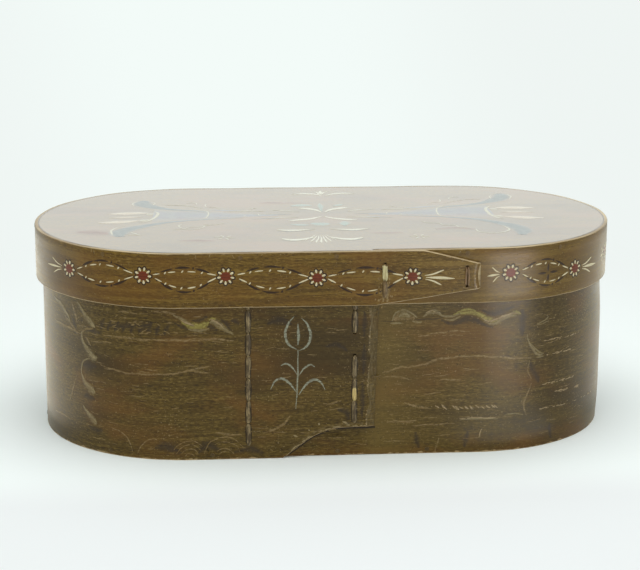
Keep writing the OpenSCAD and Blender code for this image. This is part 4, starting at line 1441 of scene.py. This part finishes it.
TURQUOISE = [
    [(-13, -27, 6), (-8, -30, 18), (-3, -31, 20), (2, -28, 6)],
    [(0, 20, 1), (0, 32, 6), (0.5, 44, 9), (0, 54, 2)], [(15.5, -21, 4), (16, -29, 17), (15, -38, 4)],
    [(-26, 44, 4), (-17, 47, 17), (-7, 46, 4)], [(12, 42, 3), (17, 46, 9), (21, 50, 3)],
    [(-31, -30, 3), (-23, -33, 10), (-15, -33, 3)],
]
PETALS = [
    [(156, 25.5, 3), (163, 26, 11), (174, 25.6, 16), (184, 24.4, 10), (191, 23.4, 2)],
    [(158, -9, 3), (166, -12.4, 10), (176, -15.4, 15), (185, -16.8, 9), (192, -17.4, 2)],
    [(159, 8, 1.5), (168, 7.7, 6), (178, 6.8, 5), (187, 5.8, 1)],
]
print(len(COMMAS), "commas and", len(PETALS), "petals in one half")

# %% Fine strokes, fans and smudges
WHITES = [
    [(153.5, 35, 1), (148, 27, 3.4), (146.5, 17, 4), (146.8, 4, 4), (149, -8, 3.4), (153, -16, 2.4),
     (156, -19, 1)], [(150, 23, 2), (154, 21, 7), (157, 19, 2)],
    [(150, -5, 2), (154.5, -8, 7), (158, -10, 2)],
    [(110.3, 37.7, 0.8), (104, 28, 1.7), (102, 17.8, 1.9), (101.4, 6, 1.9), (102, -2.1, 1.7),
     (106.7, -9, 0.8)], [(176.5, 84, 0.8), (178.5, 74, 2), (175.5, 64, 0.8)],
    [(160.5, 80, 0.8), (158.6, 74.6, 1.8), (158.8, 66, 0.8)],
    [(120, 65, 0.8), (121, 72, 1.6), (126, 76, 1.6), (129, 72, 0.8)],
    [(109, 52, 0.8), (111, 59, 1.6), (111, 66, 0.8)], [(96, 44, 0.8), (100, 50, 1.6), (108, 54, 0.8)],
    [(112, 46, 0.8), (122, 56, 1.4), (134, 63, 1.4), (148, 64, 0.8)],
    [(83, -24, 0.8), (88, -31, 1.7), (97, -33, 1.5), (101, -41, 1.7), (110, -42, 1.5), (113, -50, 1.7),
     (122, -54, 0.8)], [(56, 6, 0.8), (57, 12, 1.5), (59, 14, 0.8)],
    [(66, 2, 0.8), (69, 5, 1.5), (68, 8, 0.8)], [(62, 36, 0.8), (65, 39, 1.5), (68, 34, 0.8)],
    [(22, 20, 1), (32, 24, 3.6), (46, 28, 1.2)], [(20, -3, 1), (33, -3, 3.4), (48, -8, 1)],
    [(54, 25, 1), (70, 27, 3), (88, 26, 1)],
]
STAR_X, STAR_Y, STAR_RAY = 74, -83, ((2, 0, 0.8), (5.4, 0, 2.6), (8.6, 0, 0.8))
WHITES += [around(STAR_X, STAR_Y, a, STAR_RAY) for a in np.linspace(0, 2 * math.pi, 6, endpoint=False)]
ALONE = [
    [(126, -57, 0.8), (125.7, -63, 2), (128.3, -69.2, 2.2), (140.3, -74, 2.2), (151.6, -66.6, 2.6),
     (153.9, -58.5, 2.4), (150.9, -43.7, 0.8)],
    [(-124, -24, 0.8), (-127, -31, 2.2), (-124, -40, 1.7), (-116, -46, 1.5), (-108, -40, 1.6),
     (-104, -31, 1.9), (-99, -29, 0.8)],
    [(-173.7, -27.8, 0.8), (-180.3, -35, 2), (-184, -46, 2.4), (-183.5, -57, 2.2), (-182, -62, 0.8)],
    [(-168, -52, 0.8), (-164, -58, 2.6), (-159, -65, 0.8)],
    [(-171, -61, 0.8), (-166, -63, 1.8), (-161, -63, 0.8)],
]
FANS = [[(-8.4 + 3.6 * s, -75 + 3 * s * s, 0.5), (-8.7 + 6 * s, -85 + 4 * s * s, 1.3),
         (-9.5 + 9.5 * s, -97 + 6 * s * s, 2.4 - 0.9 * abs(s)), (-9.6 + 11 * s, -101 + 6 * s * s, 0.6)]
        for s in (-1.2, -0.8, -0.4, 0, 0.4, 0.8, 1.2)]
FANS += [[(4 + s, 93, 0.7), (5 + 3.4 * s, 103, 4.4 - 1.4 * abs(s)), (5.6 + 6.5 * s, 110 - 3 * s * s, 1.0)]
         for s in (-1, 0, 1)]
SMUDGES = [
    [(-126, -86, 5), (-112, -87, 17), (-98, -88, 5)], [(92, -55, 5), (110, -52, 16), (126, -58, 5)],
    [(-54, 60, 5), (-42, 60, 16), (-30, 58, 6)], [(-36, 59, 4), (-22, 58, 10), (-8, 57, 4)],
    [(-213, -48, 14), (-198, -52, 42), (-180, -58, 16)], [(34, -66, 4), (48, -68, 12), (62, -66, 4)],
]
print(len(WHITES), "fine white strokes in one half")

# %% Lid pieces
MIRROR_LEAN, MIRROR_SHIFT, DRAWN_IN = 0.165, -1.5, 0.15
NEAR_MIDDLE, LID_WANDER = 6, 0.15


def both_halves(strokes):
    """The strokes and, of those right of the middle, their images on the left: x turned about an axis that
    leans by a twelfth, y drawn in towards the end, as the painter's hand did."""
    def image(x, y, width):
        return -x + MIRROR_LEAN * y + MIRROR_SHIFT, y * (1 - DRAWN_IN * smooth(x, 40, 110)), width

    right = [rows for rows in strokes if np.mean(rows, axis=0)[0] > NEAR_MIDDLE]
    return strokes + [[image(*row) for row in rows] for rows in right]


lid_strokes = (
    ("smudges", [], SMUDGES, ((124, 74, 50), (106, 64, 42)), (0.85, 0.36, 0.9, 0.5), 0.72, 0.04),
    ("lavender", LAVENDER, [], ((116, 116, 132), (128, 132, 134)), (0.75, 0.36, 0.7, 0.4), 0.76, 0.06),
    ("blues", BLUE, [], ((100, 109, 109), (117, 123, 120)), (0.9, 0.34, 0.5, 0.3), 0.64, 0.08),
    ("turquoise", [], TURQUOISE, ((132, 172, 158), (134, 158, 152)), (0.66, 0.40, 0.6, 0.5), 0.8, 0.10),
    ("petals", PETALS, [], ((202, 188, 154), (184, 158, 126)), (0.85, 0.38, 0.5, 0.4), 0.92, 0.12),
    ("whites", WHITES, ALONE, ((190, 184, 152), (166, 159, 126)), (0.9, 0.40, 0.4, 0.3), 0.95, 0.13),
    ("commas", COMMAS, FANS, ((216, 213, 188), (192, 186, 156)), (0.9, 0.38, 0.4, 0.3), 0.95, 0.15),
)
for label, mirrored, alone, colours, feel, varnish, rise in lid_strokes:
    finish = stroke_paint("lid_" + label, on_top, colours, *feel, varnish)
    paint_piece("lid_top_" + label, both_halves(mirrored) + alone, on_top, finish, rise, LID_WANDER)

# %% [markdown]
# ## The seam round the lid board
# Paint and varnish have run into the narrow gap between the lid board and its band and nearly
# filled it. A mask on the board would have to know the strip's outline, so short overlapping strokes
# follow the inside of the strip once round.

# %% Lid seam
SEAM_STEPS, SEAM_OVERLAP, SEAM_WIDTH = 48, 0.4, 1.5
seam_walk = np.linspace(0.5, lid.length - lid.end + lid.start - 0.5, SEAM_STEPS)
filled = []
for begin, stop in zip(seam_walk, seam_walk[1:]):
    along = np.linspace(begin - SEAM_OVERLAP, stop + SEAM_OVERLAP, 6)
    filled.append([(x, y, SEAM_WIDTH) for x, y, _ in strip_point(lid, along, lid.high, 0.1 - lid.wall)])
finish = stroke_paint("lid_seam", on_top, ((82, 62, 36), (66, 48, 26)), 0.9, 0.4, 0.6, 0.3, 0.4)
paint_piece("lid_top_seam", filled, on_top, finish, 0.05)
